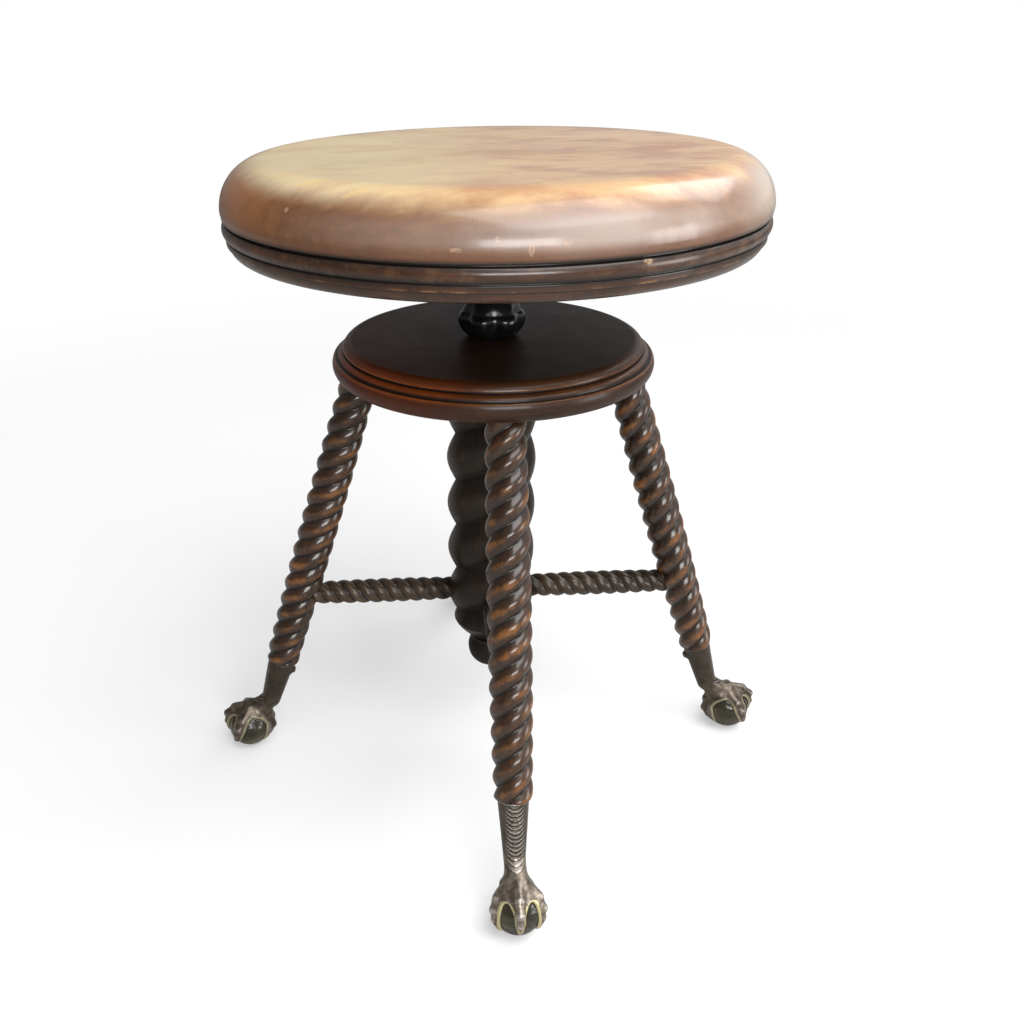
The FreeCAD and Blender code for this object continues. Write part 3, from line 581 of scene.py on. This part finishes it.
def ball_glass():
    """Old pressed glass, grey-brown and not quite even."""
    g = Graph("ball_glass_clear")
    place = g.millimetres()
    wave = g.noise(place, 0.11, detail=3.0, roughness=0.5)
    scuff = g.noise(place, 0.6, detail=6.0, roughness=0.7)
    rough = g.span(scuff, 0.5, 0.75, 0.02, 0.2)
    tint = g.mix(g.span(wave, 0.3, 0.7), colour(46, 42, 31), colour(94, 88, 70))
    normal = g.bump(wave, 0.5, 0.004)
    inputs = {"Base Color": tint, "Roughness": rough, "Normal": normal}
    inputs["Transmission Weight"] = 1.0
    inputs["IOR"] = 1.5
    return g.finish(inputs)


def plain_steel(name, tint, roughness, brushing):
    """Oiled steel with turning marks round the axis and a little brown in places."""
    g = Graph(name)
    place = g.millimetres()
    stain = g.noise(place, 0.15, detail=6.0, roughness=0.7)
    marks = g.noise(g.mapped(place, scale=brushing), 1.6, detail=3.0)
    base = g.mix(g.span(stain, 0.45, 0.7), tint, colour(92, 70, 50))
    rough = g.scaled(stain, 0.3, roughness - 0.12)
    normal = g.bump(marks, 0.15, 0.0003)
    return g.finish({"Base Color": base, "Roughness": rough, "Metallic": 0.9, "Normal": normal})


# Heights on the seat, in millimetres, that its varnish follows: the painted glare band and the grooves
# with painted shade
SEAT_PAINTED_GLARE_HEIGHT = 447.0
SEAT_GROOVE_HEIGHT = 432.2
SEAT_FINE_GROOVE_HEIGHT = 422.4
# Places of the dark, middle and light tones of the grain
GRAIN_STOPS = (0.3, 0.5, 0.7)
# Nicks in the seat's rim: place, size and stretch
SEAT_NICKS = (
    ((-123.0, -122.0, 453.9), 2.0, (1, 1, 1)),
    ((-34.7, -174.3, 440.6), 2.6, (0.6, 1, 1.6)),
    ((-13.9, -176.2, 445.8), 1.8, (1, 1, 1)),
    ((21.6, -176.0, 443.2), 2.2, (0.7, 1, 1.2)),
    ((3.1, -177.7, 440.6), 3.4, (1.8, 1, 0.8)),
    ((65.8, -164.9, 430.5), 3.0, (0.8, 1, 1.2)),
)
SEAT_WOOD = seat_wood()


def disc_shade(g, place):
    """Painted shade: the disc's flat top, in the seat's shadow, is darker than its mouldings."""
    height = g.axis(place, "Z")
    return g.span(height, DISC_TOP - 2.5, DISC_TOP - 0.3, 0.0, 0.6)


def disc_blush(g, place, base):
    """The disc's edge turns orange-brown towards its left side."""
    sideways = g.axis(place, "X")
    uneven = g.scaled(g.noise(place, 0.03, detail=4.0), 60.0, sideways)
    return g.mix(g.span(uneven, -60.0, 30.0, 0.85, 0.0), base, colour(142, 64, 20))


def post_shade(g, place):
    """Painted shade: the post and its knob, in the shadow under the disc, are darker than the stretchers.
    """
    radius = g.length(g.mapped(place, scale=(1, 1, 0)))
    return g.span(radius, 34.0, 44.0, 0.8, 0.0)


DISC_WOOD = turned_wood(
    "disc_wood_varnish",
    (colour(50, 27, 12), colour(80, 46, 22), colour(104, 64, 32)),
    worn=colour(136, 92, 52),
    hollow_and_shade_tone=colour(18, 10, 5),
    worn_from=0.55,
    gloss=0.24,
    sheen=0.25,
    shade=disc_shade,
    blush=disc_blush,
)
LEG_WOOD = turned_wood(
    "leg_wood_varnish",
    (colour(32, 20, 12), colour(56, 36, 22), colour(80, 53, 32)),
    worn=colour(190, 122, 52),
    hollow_and_shade_tone=colour(8, 5, 3),
    worn_from=0.82,
    gloss=0.3,
    sheen=0.8,
)
DARK_WOOD = turned_wood(
    "dark_wood_varnish",
    (colour(38, 29, 21), colour(60, 47, 35), colour(84, 66, 49)),
    worn=colour(110, 92, 70),
    hollow_and_shade_tone=colour(10, 7, 5),
    worn_from=0.85,
    gloss=0.3,
    sheen=0.45,
    shade=post_shade,
)
CLAW_METAL = claw_bronze()
GLASS = ball_glass()
CAST_IRON = cast_metal(
    "cast_iron_paint", colour(34, 32, 30), colour(52, 48, 44), colour(92, 80, 66), 0.6, 0.2, 0.0008
)
BLACK_IRON = cast_metal(
    "black_iron_gloss", colour(14, 14, 15), colour(24, 23, 23), colour(46, 42, 38), 0.16, 0.1, 0.0002
)
SPINDLE_STEEL = plain_steel("spindle_steel_oiled", colour(150, 146, 140), 0.34, (0.1, 0.1, 1))
SCREW_STEEL = plain_steel("screw_steel_plain", colour(140, 134, 124), 0.42, (1, 1, 1))


# Seat, base disc and the knob under the post, from outlines of radius and height
SEAT_AROUND = 256
DISC_AROUND = 192
FINIAL_AROUND = 96
lathe(
    "seat_top_turned",
    [
        (0, SEAT_BOTTOM),
        (168.8, SEAT_BOTTOM),
        (174.0, 417.9, 8.0, "left"),
        (175.4, 417.9),
        (175.4, 421.8),
        (174.4, 421.8),
        (174.4, 423.1),
        (176.2, 423.1),
        (176.2, 431.2, 6.48, "left"),
        (172.8, 431.2),
        (172.8, SEAT_BAND_TOP),
        (177.0, SEAT_BAND_TOP),
        (SEAT_RADIUS, 438.0),
        (147.8, SEAT_TOP, 30.0, "left"),
        (0, SEAT_TOP),
    ],
    SEAT_AROUND, SEAT_WOOD, "seat", ("seat_top",),
)
lathe(
    "base_disc_turned",
    [
        (14.1, DISC_TOP),
        (14.1, 332.0),
        (22.1, 332.0),
        (22.1, DISC_BOTTOM),
        (107.3, DISC_BOTTOM),
        (DISC_RADIUS, 333.3, 9.6, "left"),
        (108.2, 333.3),
        (108.2, 334.0),
        (104.4, 337.4, 4.4, "left"),
        (103.4, 337.4),
        (103.4, 338.5),
        (104.4, 338.5),
        (98.5, DISC_TOP, 6.5, "left"),
    ],
    DISC_AROUND, DISC_WOOD, "base", ("base_disc",), closed=True,
)
lathe(
    "post_finial_turned",
    [
        (0, 72.0),
        (6.88, 72.0),
        (17.2, 85.0, 14.3, "left"),
        (15.0, 95.0, 14.3, "left"),
        (15.1, POST_END),
        (7.0, POST_END),
        (7.0, 113.0),
        (0, 113.0),
    ],
    FINIAL_AROUND, DARK_WOOD, "base", ("post_finial",), edge=0.5,
)


# Centre post
def post_crest(height):
    share = np.clip(height / POST_TAPER, 0, 1)
    return POST_END_RADIUS + (POST_RADIUS - POST_END_RADIUS) * share


def post_groove(height):
    return POST_GROOVE * post_crest(height) / POST_RADIUS


# A groove faces the front leg at the stretchers' height
post_length = DISC_BOTTOM - POST_END
post_phase = -math.pi / 2 - 2 * math.pi * (STRETCHER_HEIGHT - POST_END) / POST_LEAD
points, faces, wear = twist(
    even_heights(post_length), POST_LEAD, 2, post_crest, post_groove, post_phase,
    per_strand=40, spacing=1.2, length=post_length,
)
points[:, 2] += POST_END
new_piece(
    "centre_post_twist", points, faces, DARK_WOOD, "base", ("centre_post",), wear, points
)


# Legs
leg_offset_end = LEG_TOP_OFFSET + (DISC_BOTTOM - LEG_END) * math.tan(SPLAY)
leg_length = (DISC_BOTTOM - LEG_END) / math.cos(SPLAY)
across_leg = [0, math.cos(SPLAY), math.sin(SPLAY)]
up_leg = [0, -math.sin(SPLAY), math.cos(SPLAY)]
leg_turn = np.array([[1, 0, 0], across_leg, up_leg])
wood_end = np.array([0, -leg_offset_end, LEG_END])


def leg_crest(height):
    """Radius of the crests, with a small round at the lower end."""
    swell = LEG_SWELL * np.sin(math.pi * np.clip(height / leg_length, 0, 1))
    rounding = np.clip(1.0 - height / 2.2, 0, 1) ** 2
    return LEG_RADIUS + swell - 1.3 * rounding


def leg_groove(height):
    """Depth of the grooves, which run out at the lower end."""
    return LEG_GROOVE * np.clip(0.35 + height / 3.0, 0, 1)


def leg_heights(share, angle_of, swell):
    """Ring heights that end on the disc's flat underside all round."""
    top = np.full(len(swell), leg_length)
    for _ in range(30):
        radius = leg_crest(top) - leg_groove(top) * (1 - swell)
        angle = angle_of + 2 * math.pi * top / LEG_LEAD
        top = leg_length + radius * np.sin(angle) * math.tan(SPLAY)
    height = share[:, None] * leg_length
    bend = np.clip((height - leg_length + 30.0) / 30.0, 0, 1)
    return height + (top - leg_length)[None, :] * bend


local, faces, wear = twist(
    leg_heights, LEG_LEAD, 3, leg_crest, leg_groove, 0.0,
    per_strand=18, spacing=0.9, length=leg_length,
)
for quarter, side in enumerate(QUARTERS):
    grain = local + [quarter * 61.0, 0, quarter * 37.0]
    points = turned(local @ leg_turn.T + wood_end, quarter)
    node = (f"leg_{side}",)
    new_piece(f"leg_{side}_twist", points, faces, LEG_WOOD, "base", node, wear, grain)


# Stretchers, from inside the post to inside the leg. A groove faces sideways at one distance.
STRETCHER_GROOVE_PLACE = 26.6
stretcher_end = LEG_TOP_OFFSET + (DISC_BOTTOM - STRETCHER_HEIGHT) * math.tan(SPLAY) - 10.5
stretcher_length = stretcher_end - STRETCHER_START
stretcher_phase = 2 * math.pi * (STRETCHER_START - STRETCHER_GROOVE_PLACE) / STRETCHER_LEAD


def stretcher_crest(height):
    share = np.clip(height / stretcher_length, 0, 1)
    return STRETCHER_RADIUS + STRETCHER_SWELL * np.sin(math.pi * share)


def stretcher_groove(height):
    return np.full_like(height, STRETCHER_GROOVE)


local, faces, wear = twist(
    even_heights(stretcher_length), STRETCHER_LEAD, 3, stretcher_crest, stretcher_groove,
    stretcher_phase, per_strand=14, spacing=0.9, length=stretcher_length,
)
laid = np.column_stack([local[:, 0], -STRETCHER_START - local[:, 2], STRETCHER_HEIGHT + local[:, 1]])
for quarter, side in enumerate(QUARTERS):
    grain = local + [quarter * 43.0, 17.0, quarter * 29.0]
    points = turned(laid, quarter)
    name = f"stretcher_{side}_twist"
    node = (f"stretcher_{side}",)
    new_piece(name, points, faces, DARK_WOOD, "base", node, wear, grain)


# Claws: a distance field of tapered limbs, then a net of quads on its surface
def smooth_union(first, second, blend):
    """The lower of two distances, rounded where they meet."""
    share = np.maximum(blend - np.abs(first - second), 0.0) / blend
    return np.minimum(first, second) - share * share * blend / 4


def smooth_cut(first, second, blend):
    """The higher of two distances, rounded where they meet."""
    return -smooth_union(-first, -second, blend)


def limb(grid, start, end, start_radius, end_radius):
    """Distance to a tapered limb with round ends."""
    line = end - start
    offset = [axis - value for axis, value in zip(grid, start)]
    share = sum(part * value for part, value in zip(offset, line)) / float(line @ line)
    share = np.clip(share, 0, 1)
    away = sum((part - share * value) ** 2 for part, value in zip(offset, line))
    return np.sqrt(away) - (start_radius + share * (end_radius - start_radius))


# Directions and sizes of the front claw
ball_centre = np.array([0.0, -FOOT_OFFSET, BALL_RADIUS])
down_leg = np.array([0.0, -math.sin(SPLAY), -math.cos(SPLAY)])
outward = np.array([0.0, -math.cos(SPLAY), math.sin(SPLAY)])
ankle = wood_end + down_leg * 38.0 / math.cos(SPLAY)
SHANK_RADIUS = 10.95
ANKLE_RADIUS = 7.5
SHELL_THICKNESS = 1.3
BALL_PLAY = 0.12
SCALE_PITCH = 3.05
SCALE_DEPTH = 0.5
SCREW_DROP = 8.0
BOSS_RADIUS = 5.4
FINE_STEP = 0.45
CLAW_BOX = np.array([[-22.0, -224.0, -1.0], [22.0, -154.0, 84.0]])

# Each ridge point: degrees from the ball's top, degrees round from outward, distance, radius
OUTER_TOE = (
    (4, 0, 17.6, 4.6), (22, 0, 19.0, 3.7), (34, 0, 20.2, 3.7), (46, 0, 20.2, 2.7),
    (57, 0, 20.9, 3.3), (67, 0, 19.3, 2.2), (78, 0, 18.6, 2.8), (87, 0, 17.9, 1.9),
    (98, 0, 17.6, 1.5), (108, 0, 17.2, 0.8),
)
SIDE_TOE = (
    (14, 100, 17.6, 4.0), (38, 84, 17.8, 2.9), (50, 76, 18.4, 3.2), (61, 71, 17.9, 2.1),
    (72, 67, 18.3, 3.1), (82, 63, 17.7, 1.9), (91, 60, 17.9, 2.5), (99, 56, 17.7, 1.8),
    (110, 51, 17.4, 1.4), (119, 47, 17.0, 0.7),
)
REAR_TOE = (
    (20, 180, 17.6, 4.6), (48, 180, 18.2, 4.0), (66, 180, 18.9, 3.8), (80, 180, 18.0, 2.6),
    (94, 180, 18.3, 3.3), (106, 180, 17.7, 2.0), (118, 180, 17.4, 1.7),
    (131, 180, 17.0, 0.9),
)
# Edges of the openings over the ball: degrees from its top against degrees round from outward
FRONT_ARCH_POLAR = (41, 45, 51, 61, 84, 108, 125)
FRONT_ARCH_NEAR = (38, 28, 21, 15, 10, 3, 0)
FRONT_ARCH_FAR = (38, 46, 48, 47, 45, 43, 42)
REAR_ARCH_POLAR = (41, 44, 50, 60, 74, 106, 118, 135)
REAR_ARCH_NEAR = (111, 103, 97, 91, 86, 70, 62, 60)
REAR_ARCH_FAR = (111, 122, 133, 143, 149, 138, 134, 130)


def toe_place(degrees, around_degrees, distance):
    """A point of a ridge, from its angles and its distance from the ball's centre."""
    polar = math.radians(degrees)
    sweep = math.radians(around_degrees)
    across = math.sin(polar) * distance
    return ball_centre + [across * math.sin(sweep), -across * math.cos(sweep), distance * math.cos(polar)]


def arch(polar, sweep, stations, near_edge, far_edge):
    """Depth inside an opening over the ball, in millimetres: positive inside."""
    reach = np.sin(np.radians(polar)) * BALL_RADIUS * math.pi / 180
    near_side = (sweep - np.interp(polar, stations, near_edge)) * reach
    far_side = (np.interp(polar, stations, far_edge) - sweep) * reach
    return smooth_union(near_side, far_side, 2.0) - np.maximum(stations[0] - polar, 0)


def opening_depth(offset, from_ball):
    """Depth inside the nearest opening of the claw's shell round the ball."""
    polar = np.degrees(np.arccos(np.clip(offset[2] / np.maximum(from_ball, 1.0), -1, 1)))
    sweep = np.degrees(np.arctan2(np.abs(offset[0]), -offset[1]))
    front = arch(polar, sweep, FRONT_ARCH_POLAR, FRONT_ARCH_NEAR, FRONT_ARCH_FAR)
    rear = arch(polar, sweep, REAR_ARCH_POLAR, REAR_ARCH_NEAR, REAR_ARCH_FAR)
    end = np.interp(sweep, (0, 20, 50, 75, 120, 180), (100, 104, 114, 112, 118, 124))
    below = (polar - end) * BALL_RADIUS * math.pi / 180
    return np.maximum(np.maximum(front, rear), below)


def ridge(grid, toe):
    """Distance to the limbs along a toe."""
    strand = None
    for low, high in zip(toe, toe[1:]):
        part = limb(grid, toe_place(*low[:3]), toe_place(*high[:3]), low[3], high[3])
        strand = part if strand is None else np.minimum(strand, part)
    return strand


def with_scales(grid, field, along):
    """Crescent scales down the shank's outward face."""
    out = sum((axis - value) * way for axis, value, way in zip(grid, wood_end, outward))
    bend = along + 0.095 * grid[0] ** 2
    phase = np.mod(bend, SCALE_PITCH) / SCALE_PITCH
    scale = np.where(phase < 0.75, phase / 0.75, (1 - phase) / 0.25)
    fade = np.clip((7.0 - np.abs(grid[0])) / 4.0, 0, 1) * np.clip(out / 3.0, 0, 1)
    fade = fade * np.clip((along - 1.0) / 2.5, 0, 1) * np.clip((49.0 - bend) / 6.0, 0, 1)
    return field - SCALE_DEPTH * (scale - 0.35) * fade


def claw_field(grid):
    """Signed distance to the front claw in millimetres."""
    shank = limb(grid, wood_end - down_leg * 6, ankle, SHANK_RADIUS, ANKLE_RADIUS)
    neck_foot = ball_centre + [0, 6.0, 14.0]
    neck = np.minimum(shank, limb(grid, ankle, neck_foot, ANKLE_RADIUS, 7.0))
    offset = [axis - value for axis, value in zip(grid, ball_centre)]
    from_ball = np.sqrt(sum(part**2 for part in offset))
    inside = opening_depth(offset, from_ball)
    thick = SHELL_THICKNESS + 0.9 * np.clip((offset[2] - 4.0) / 8.0, 0, 1)
    claw = smooth_cut(from_ball - (BALL_RADIUS + thick), inside, 1.6)
    side_other = tuple((a, -b, c, d) for a, b, c, d in SIDE_TOE)
    for toe in (OUTER_TOE, SIDE_TOE, side_other, REAR_TOE):
        claw = smooth_union(claw, ridge(grid, toe), 2.2)
    field = smooth_union(neck, claw, 6.5)
    along = sum((axis - value) * way for axis, value, way in zip(grid, wood_end, down_leg))
    field = with_scales(grid, field, along)
    # Low boss under the foot screw's head, on the side of the post
    screw_level = wood_end + down_leg * SCREW_DROP
    boss_ends = (screw_level - outward * 4.0, screw_level - outward * 6.4)
    field = smooth_union(field, limb(grid, *boss_ends, BOSS_RADIUS, BOSS_RADIUS), 1.5)
    # Flat top against the wood, and the hollow for the ball
    field = np.maximum(field, -along)
    return smooth_cut(field, BALL_RADIUS + BALL_PLAY - from_ball, 0.5)


def surface_net(field, spacing):
    """Quads round every sign change of a field: vertices in grid steps, and faces."""
    inside = field < 0
    cells = tuple(size - 1 for size in field.shape)
    total = np.zeros((*cells, 3), dtype=np.float32)
    count = np.zeros(cells, dtype=np.float32)
    for axis in range(3):
        others = [index for index in range(3) if index != axis]
        low = [slice(None)] * 3
        high = [slice(None)] * 3
        low[axis] = slice(0, -1)
        high[axis] = slice(1, None)
        first = field[tuple(low)]
        second = field[tuple(high)]
        crossing = inside[tuple(low)] != inside[tuple(high)]
        share = np.where(crossing, first / np.where(crossing, first - second, 1.0), 0.0)
        for shifts in np.ndindex(2, 2):
            part = [slice(None)] * 3
            for other, shift in zip(others, shifts):
                part[other] = slice(shift, shift + cells[other])
            hit = crossing[tuple(part)]
            total[..., axis] += share[tuple(part)] * hit
            for other, shift in zip(others, shifts):
                total[..., other] += shift * hit
            count += hit
    used = count > 0
    number = np.full(cells, -1, dtype=np.int64)
    number[used] = np.arange(int(used.sum()))
    vertices = np.argwhere(used) + total[used] / count[used][:, None]
    faces = []
    for axis in range(3):
        first_other = (axis + 1) % 3
        second_other = (axis + 2) % 3
        low = [slice(1, -1)] * 3
        high = [slice(1, -1)] * 3
        low[axis] = slice(0, -1)
        high[axis] = slice(1, None)
        rising = inside[tuple(low)] & ~inside[tuple(high)]
        falling = ~inside[tuple(low)] & inside[tuple(high)]
        for mask, reverse in ((rising, False), (falling, True)):
            place = np.argwhere(mask)
            corners = []
            for first_shift, second_shift in ((0, 0), (1, 0), (1, 1), (0, 1)):
                cell = place.copy()
                cell[:, first_other] += first_shift
                cell[:, second_other] += second_shift
                corners.append(number[tuple(cell.T)])
            quads = np.stack(corners, axis=-1)
            faces.append(quads[:, ::-1] if reverse else quads)
    return vertices * spacing, np.concatenate(faces)


def claw_mesh(spacing):
    """The front claw's points and faces, its wear, and its bright rim beside the glass."""
    low, high = CLAW_BOX
    sizes = np.ceil((high - low) / spacing).astype(int)
    axes = [low[index] + spacing * np.arange(sizes[index]) for index in range(3)]
    grid = [axis.astype(np.float32) for axis in np.meshgrid(*axes, indexing="ij")]
    field = claw_field(grid)
    vertices, faces = surface_net(field, spacing)
    nearest = np.clip(np.round(vertices / spacing).astype(int), 2, np.array(field.shape) - 3)
    reach = max(1, int(round(0.9 / spacing)))
    spread = np.zeros(len(vertices), dtype=np.float32)
    for axis in range(3):
        for way in (-reach, reach):
            beside = nearest.copy()
            beside[:, axis] = np.clip(beside[:, axis] + way, 0, field.shape[axis] - 1)
            spread += field[tuple(beside.T)]
    spread -= 6 * field[tuple(nearest.T)]
    wear = np.clip(spread / (reach * spacing) * 0.8, -1, 1)
    points = vertices + low
    offset = (points - ball_centre).T
    away = np.linalg.norm(offset, axis=0)
    rim = np.clip((2.6 + opening_depth(offset, away)) / 1.2, 0, 1)
    rim = rim * np.clip((BALL_RADIUS + 3.4 - away) / 1.2, 0, 1)
    return points, faces.tolist(), wear, rim


claw_points, claw_faces, claw_wear, claw_rim = claw_mesh(FINE_STEP)
claw_layers = claw_rim[:, None] * [1, 0, 0]
for quarter, side in enumerate(QUARTERS):
    name = f"claw_{side}_cast"
    node = (f"claw_{side}",)
    points = turned(claw_points, quarter)
    new_piece(name, points, claw_faces, CLAW_METAL, "base", node, claw_wear, claw_layers)


# Glass balls
BALL_ROWS = 47
BALL_AROUND = 96
ball_polar = np.linspace(0, math.pi, BALL_ROWS + 2)[1:-1]
ball_rings = [level_ring(math.sin(angle), -math.cos(angle), circle(BALL_AROUND)) for angle in ball_polar]
ball_points, ball_faces, _ = capped(np.concatenate(ball_rings) * BALL_RADIUS, [], BALL_AROUND)
ball_points[-2] = [0, 0, -BALL_RADIUS]
ball_points[-1] = [0, 0, BALL_RADIUS]
for quarter, side in enumerate(QUARTERS):
    points = turned(ball_points + ball_centre, quarter)
    node = (f"glass_ball_{side}",)
    new_piece(f"glass_ball_{side}_clear", points, ball_faces, GLASS, "base", node)


# Nut: a smooth lobed collar over the disc with a barrel below
NUT_BORE = 9.6
BARREL_RADIUS = 14.0
LOBES = 6
LOBE_DEPTH = 3.4
NUT_AROUND = 180


def nut_mesh():
    """Rings up the outside, and a plain bore between the last ring and the first."""
    outline = (
        (NUT_BORE, NUT_BOTTOM),
        (BARREL_RADIUS, NUT_BOTTOM),
        (BARREL_RADIUS, DISC_TOP),
        (15.5, DISC_TOP),
        (23.5, 356.5, 13.75, "left"),
        (20.5, 361.5, 6.0, "left"),
        (14.5, NUT_TOP, 22.0, "left"),
        (NUT_BORE, NUT_TOP),
    )
    line, spacing = evened(polyline(outline), count=620)
    line = softened(line, 0.45, spacing)
    line = line[thinned(line, 0.02, 2.5)]
    angles = circle(NUT_AROUND)
    between = ((1 - np.cos(LOBES * angles)) / 2) ** 1.5
    rings = []
    for radius, height in line:
        bulge = np.clip((radius - 15.0) / 8.5, 0, 1) if height > DISC_TOP else 0.0
        rings.append(level_ring(radius - LOBE_DEPTH * bulge * between, height, angles))
    steps = np.arange(NUT_AROUND)
    following = (steps + 1) % NUT_AROUND
    last = (len(rings) - 1) * NUT_AROUND
    bore = np.stack([last + steps, last + following, following, steps], axis=-1)
    return np.concatenate(rings), closed_rings(len(rings), NUT_AROUND) + bore.tolist()


points, faces = nut_mesh()
wear = np.zeros(len(points))
new_piece("spindle_nut_cast", points, faces, BLACK_IRON, "base", ("spindle_nut",), wear)


# Spindle: a two-start thread below a plain shank
THREAD_STARTS = 2
THREAD_ROOT = 8.1
THREAD_DEPTH = 1.38
SHAFT_RADIUS = 9.4
SPINDLE_AROUND = 48


def spindle_mesh():
    """Rings up the thread, which runs out at both ends, and on up the shaft."""
    angles = circle(SPINDLE_AROUND)
    pitch = THREAD_LEAD / THREAD_STARTS
    spacing = THREAD_LEAD / 24
    rings = []
    for height in np.arange(SPINDLE_BOTTOM, HUB_BOTTOM + spacing, spacing):
        phase = np.mod((height - angles / (2 * math.pi) * THREAD_LEAD) / pitch, 1.0)
        tooth = np.clip(1.6 - np.abs(phase - 0.5) * 5.2, 0.0, 1.0)
        run_in = (height - SPINDLE_BOTTOM) / 3.0 + 0.05
        run_out = max(0.0, (HUB_BOTTOM + 1 - height) / 4.0)
        radius = THREAD_ROOT + THREAD_DEPTH * tooth * min(1.0, run_in, run_out)
        rings.append(level_ring(radius, height, angles))
    rings.append(level_ring(THREAD_ROOT, HUB_BOTTOM + 0.6, angles))
    rings.append(level_ring(SHAFT_RADIUS, HUB_BOTTOM + 1.0, angles))
    rings.append(level_ring(SHAFT_RADIUS, SPINDLE_TOP, angles))
    points = np.concatenate(rings)
    return capped(points, np.zeros(len(points)), SPINDLE_AROUND)


points, faces, wear = spindle_mesh()
new_piece("spindle_thread", points, faces, SPINDLE_STEEL, "seat", ("spindle",), wear)

# CAD nodes that keep their own shape
for node, material in (
    ("seat_spider", CAST_IRON),
    ("hub_pin", SPINDLE_STEEL),
    ("stop_washer", SPINDLE_STEEL),
    ("stop_screw", SPINDLE_STEEL),
    ("spider_screws", SCREW_STEEL),
    ("foot_screws", SCREW_STEEL),
):
    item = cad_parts[node]
    if item.material_slots:
        for used in item.material_slots:
            used.material = material
    else:
        item.data.materials.append(material)


# Floor, lamps, world and camera
FLOOR_REACH = 30.0
AMBIENT_LEFT = 0.16
AMBIENT_RIGHT = 0.62
# Area lamps: name, place, target, width, height and watts
LAMPS = (
    ("front", (0.15, -1.75, 0.75), (0, 0, 0.35), 0.9, 0.4, 14),
    ("key", (0.5, -0.7, 1.8), (0, 0, 0.3), 1.6, 1.4, 34),
    ("side", (1.15, 0.55, 1.5), (0, 0, 0.35), 1.0, 0.8, 11),
    ("window", (1.7, -0.8, 0.45), (0, 0, 0.25), 0.7, 0.7, 8),
)
CAMERA_PLACE = (-0.06338, -0.67578, 0.54819)
CAMERA_HEADING = math.radians(1.405)
CAMERA_PITCH = math.radians(24.179)
CAMERA_ROLL = math.radians(-1.3133)
CAMERA_LENS = 35.30
CAMERA_SHIFT = (0.0822, -0.0449)


def floor_material():
    """A plain light floor that turns into the white background away from the stool."""
    g = Graph("floor_white")
    place = g.object_place()
    radius = g.length(place)
    speckle = g.noise(place, 3.0, detail=2.0)
    tint = g.mix(speckle, (0.93, 0.93, 0.93, 1), (0.96, 0.96, 0.96, 1))
    glow = g.node("Emission", {"Color": (1, 1, 1, 1), "Strength": 1.0})
    camera_ray = g.node("LightPath", output="Is Camera Ray")
    tint = g.mix(camera_ray, (0.42, 0.41, 0.40, 1), tint)
    lit = g.node("BsdfDiffuse", {"Color": tint})
    share = g.span(radius, 0.3, 1.6, 0.35, 1.0)
    mixed = g.node("MixShader", {0: g.times(g.seen(), share), 1: lit, 2: glow})
    g.node("OutputMaterial", {"Surface": mixed})
    return g.owner


def studio_world():
    """White behind everything, and a plain light that is darker from the left."""
    g = Graph("studio", bpy.data.worlds.new("studio"))
    direction = g.node("TexCoord", output="Generated")
    ambient = g.span(g.axis(direction, "X"), -0.9, 0.9, AMBIENT_LEFT, AMBIENT_RIGHT)
    strength = g.node("Mix", {0: g.seen(), 2: ambient, 3: 1.0})
    sky = g.node("Background", {"Color": (1, 1, 1, 1), "Strength": strength})
    g.node("OutputWorld", {"Surface": sky})
    return g.owner


floor_corners = [(x * FLOOR_REACH, y * FLOOR_REACH, 0) for x, y in ((-1, -1), (1, -1), (1, 1), (-1, 1))]
floor_mesh = bpy.data.meshes.new("floor")
floor_mesh.from_pydata(floor_corners, [], [(0, 1, 2, 3)])
floor_mesh.materials.append(floor_material())
floor = new_object("floor", floor_mesh)
bpy.context.scene.world = studio_world()

for name, place, target, width, height, watts in LAMPS:
    lamp_data = bpy.data.lights.new(name, "AREA")
    lamp_data.shape = "RECTANGLE"
    lamp_data.size = width
    lamp_data.size_y = height
    lamp_data.energy = watts
    lamp = new_object(name, lamp_data)
    lamp.location = place
    aim = Vector(target) - Vector(place)
    lamp.rotation_euler = aim.to_track_quat("-Z", "Y").to_euler()

camera_data = bpy.data.cameras.new("camera")
camera_data.sensor_width = 36.0
camera_data.lens = CAMERA_LENS
camera_data.shift_x, camera_data.shift_y = CAMERA_SHIFT
camera = new_object("camera", camera_data)
level = Vector((math.cos(CAMERA_HEADING), -math.sin(CAMERA_HEADING), 0))
ahead = Vector((math.sin(CAMERA_HEADING), math.cos(CAMERA_HEADING), 0))
forward = ahead * math.cos(CAMERA_PITCH) - Vector((0, 0, math.sin(CAMERA_PITCH)))
upright = level.cross(forward)
right = level * math.cos(CAMERA_ROLL) + upright * math.sin(CAMERA_ROLL)
upward = upright * math.cos(CAMERA_ROLL) - level * math.sin(CAMERA_ROLL)
turn = Matrix((right, upward, -forward)).transposed()
camera.matrix_world = Matrix.Translation(CAMERA_PLACE) @ turn.to_4x4()
bpy.context.scene.camera = camera
bpy.context.scene.view_settings.view_transform = "Standard"
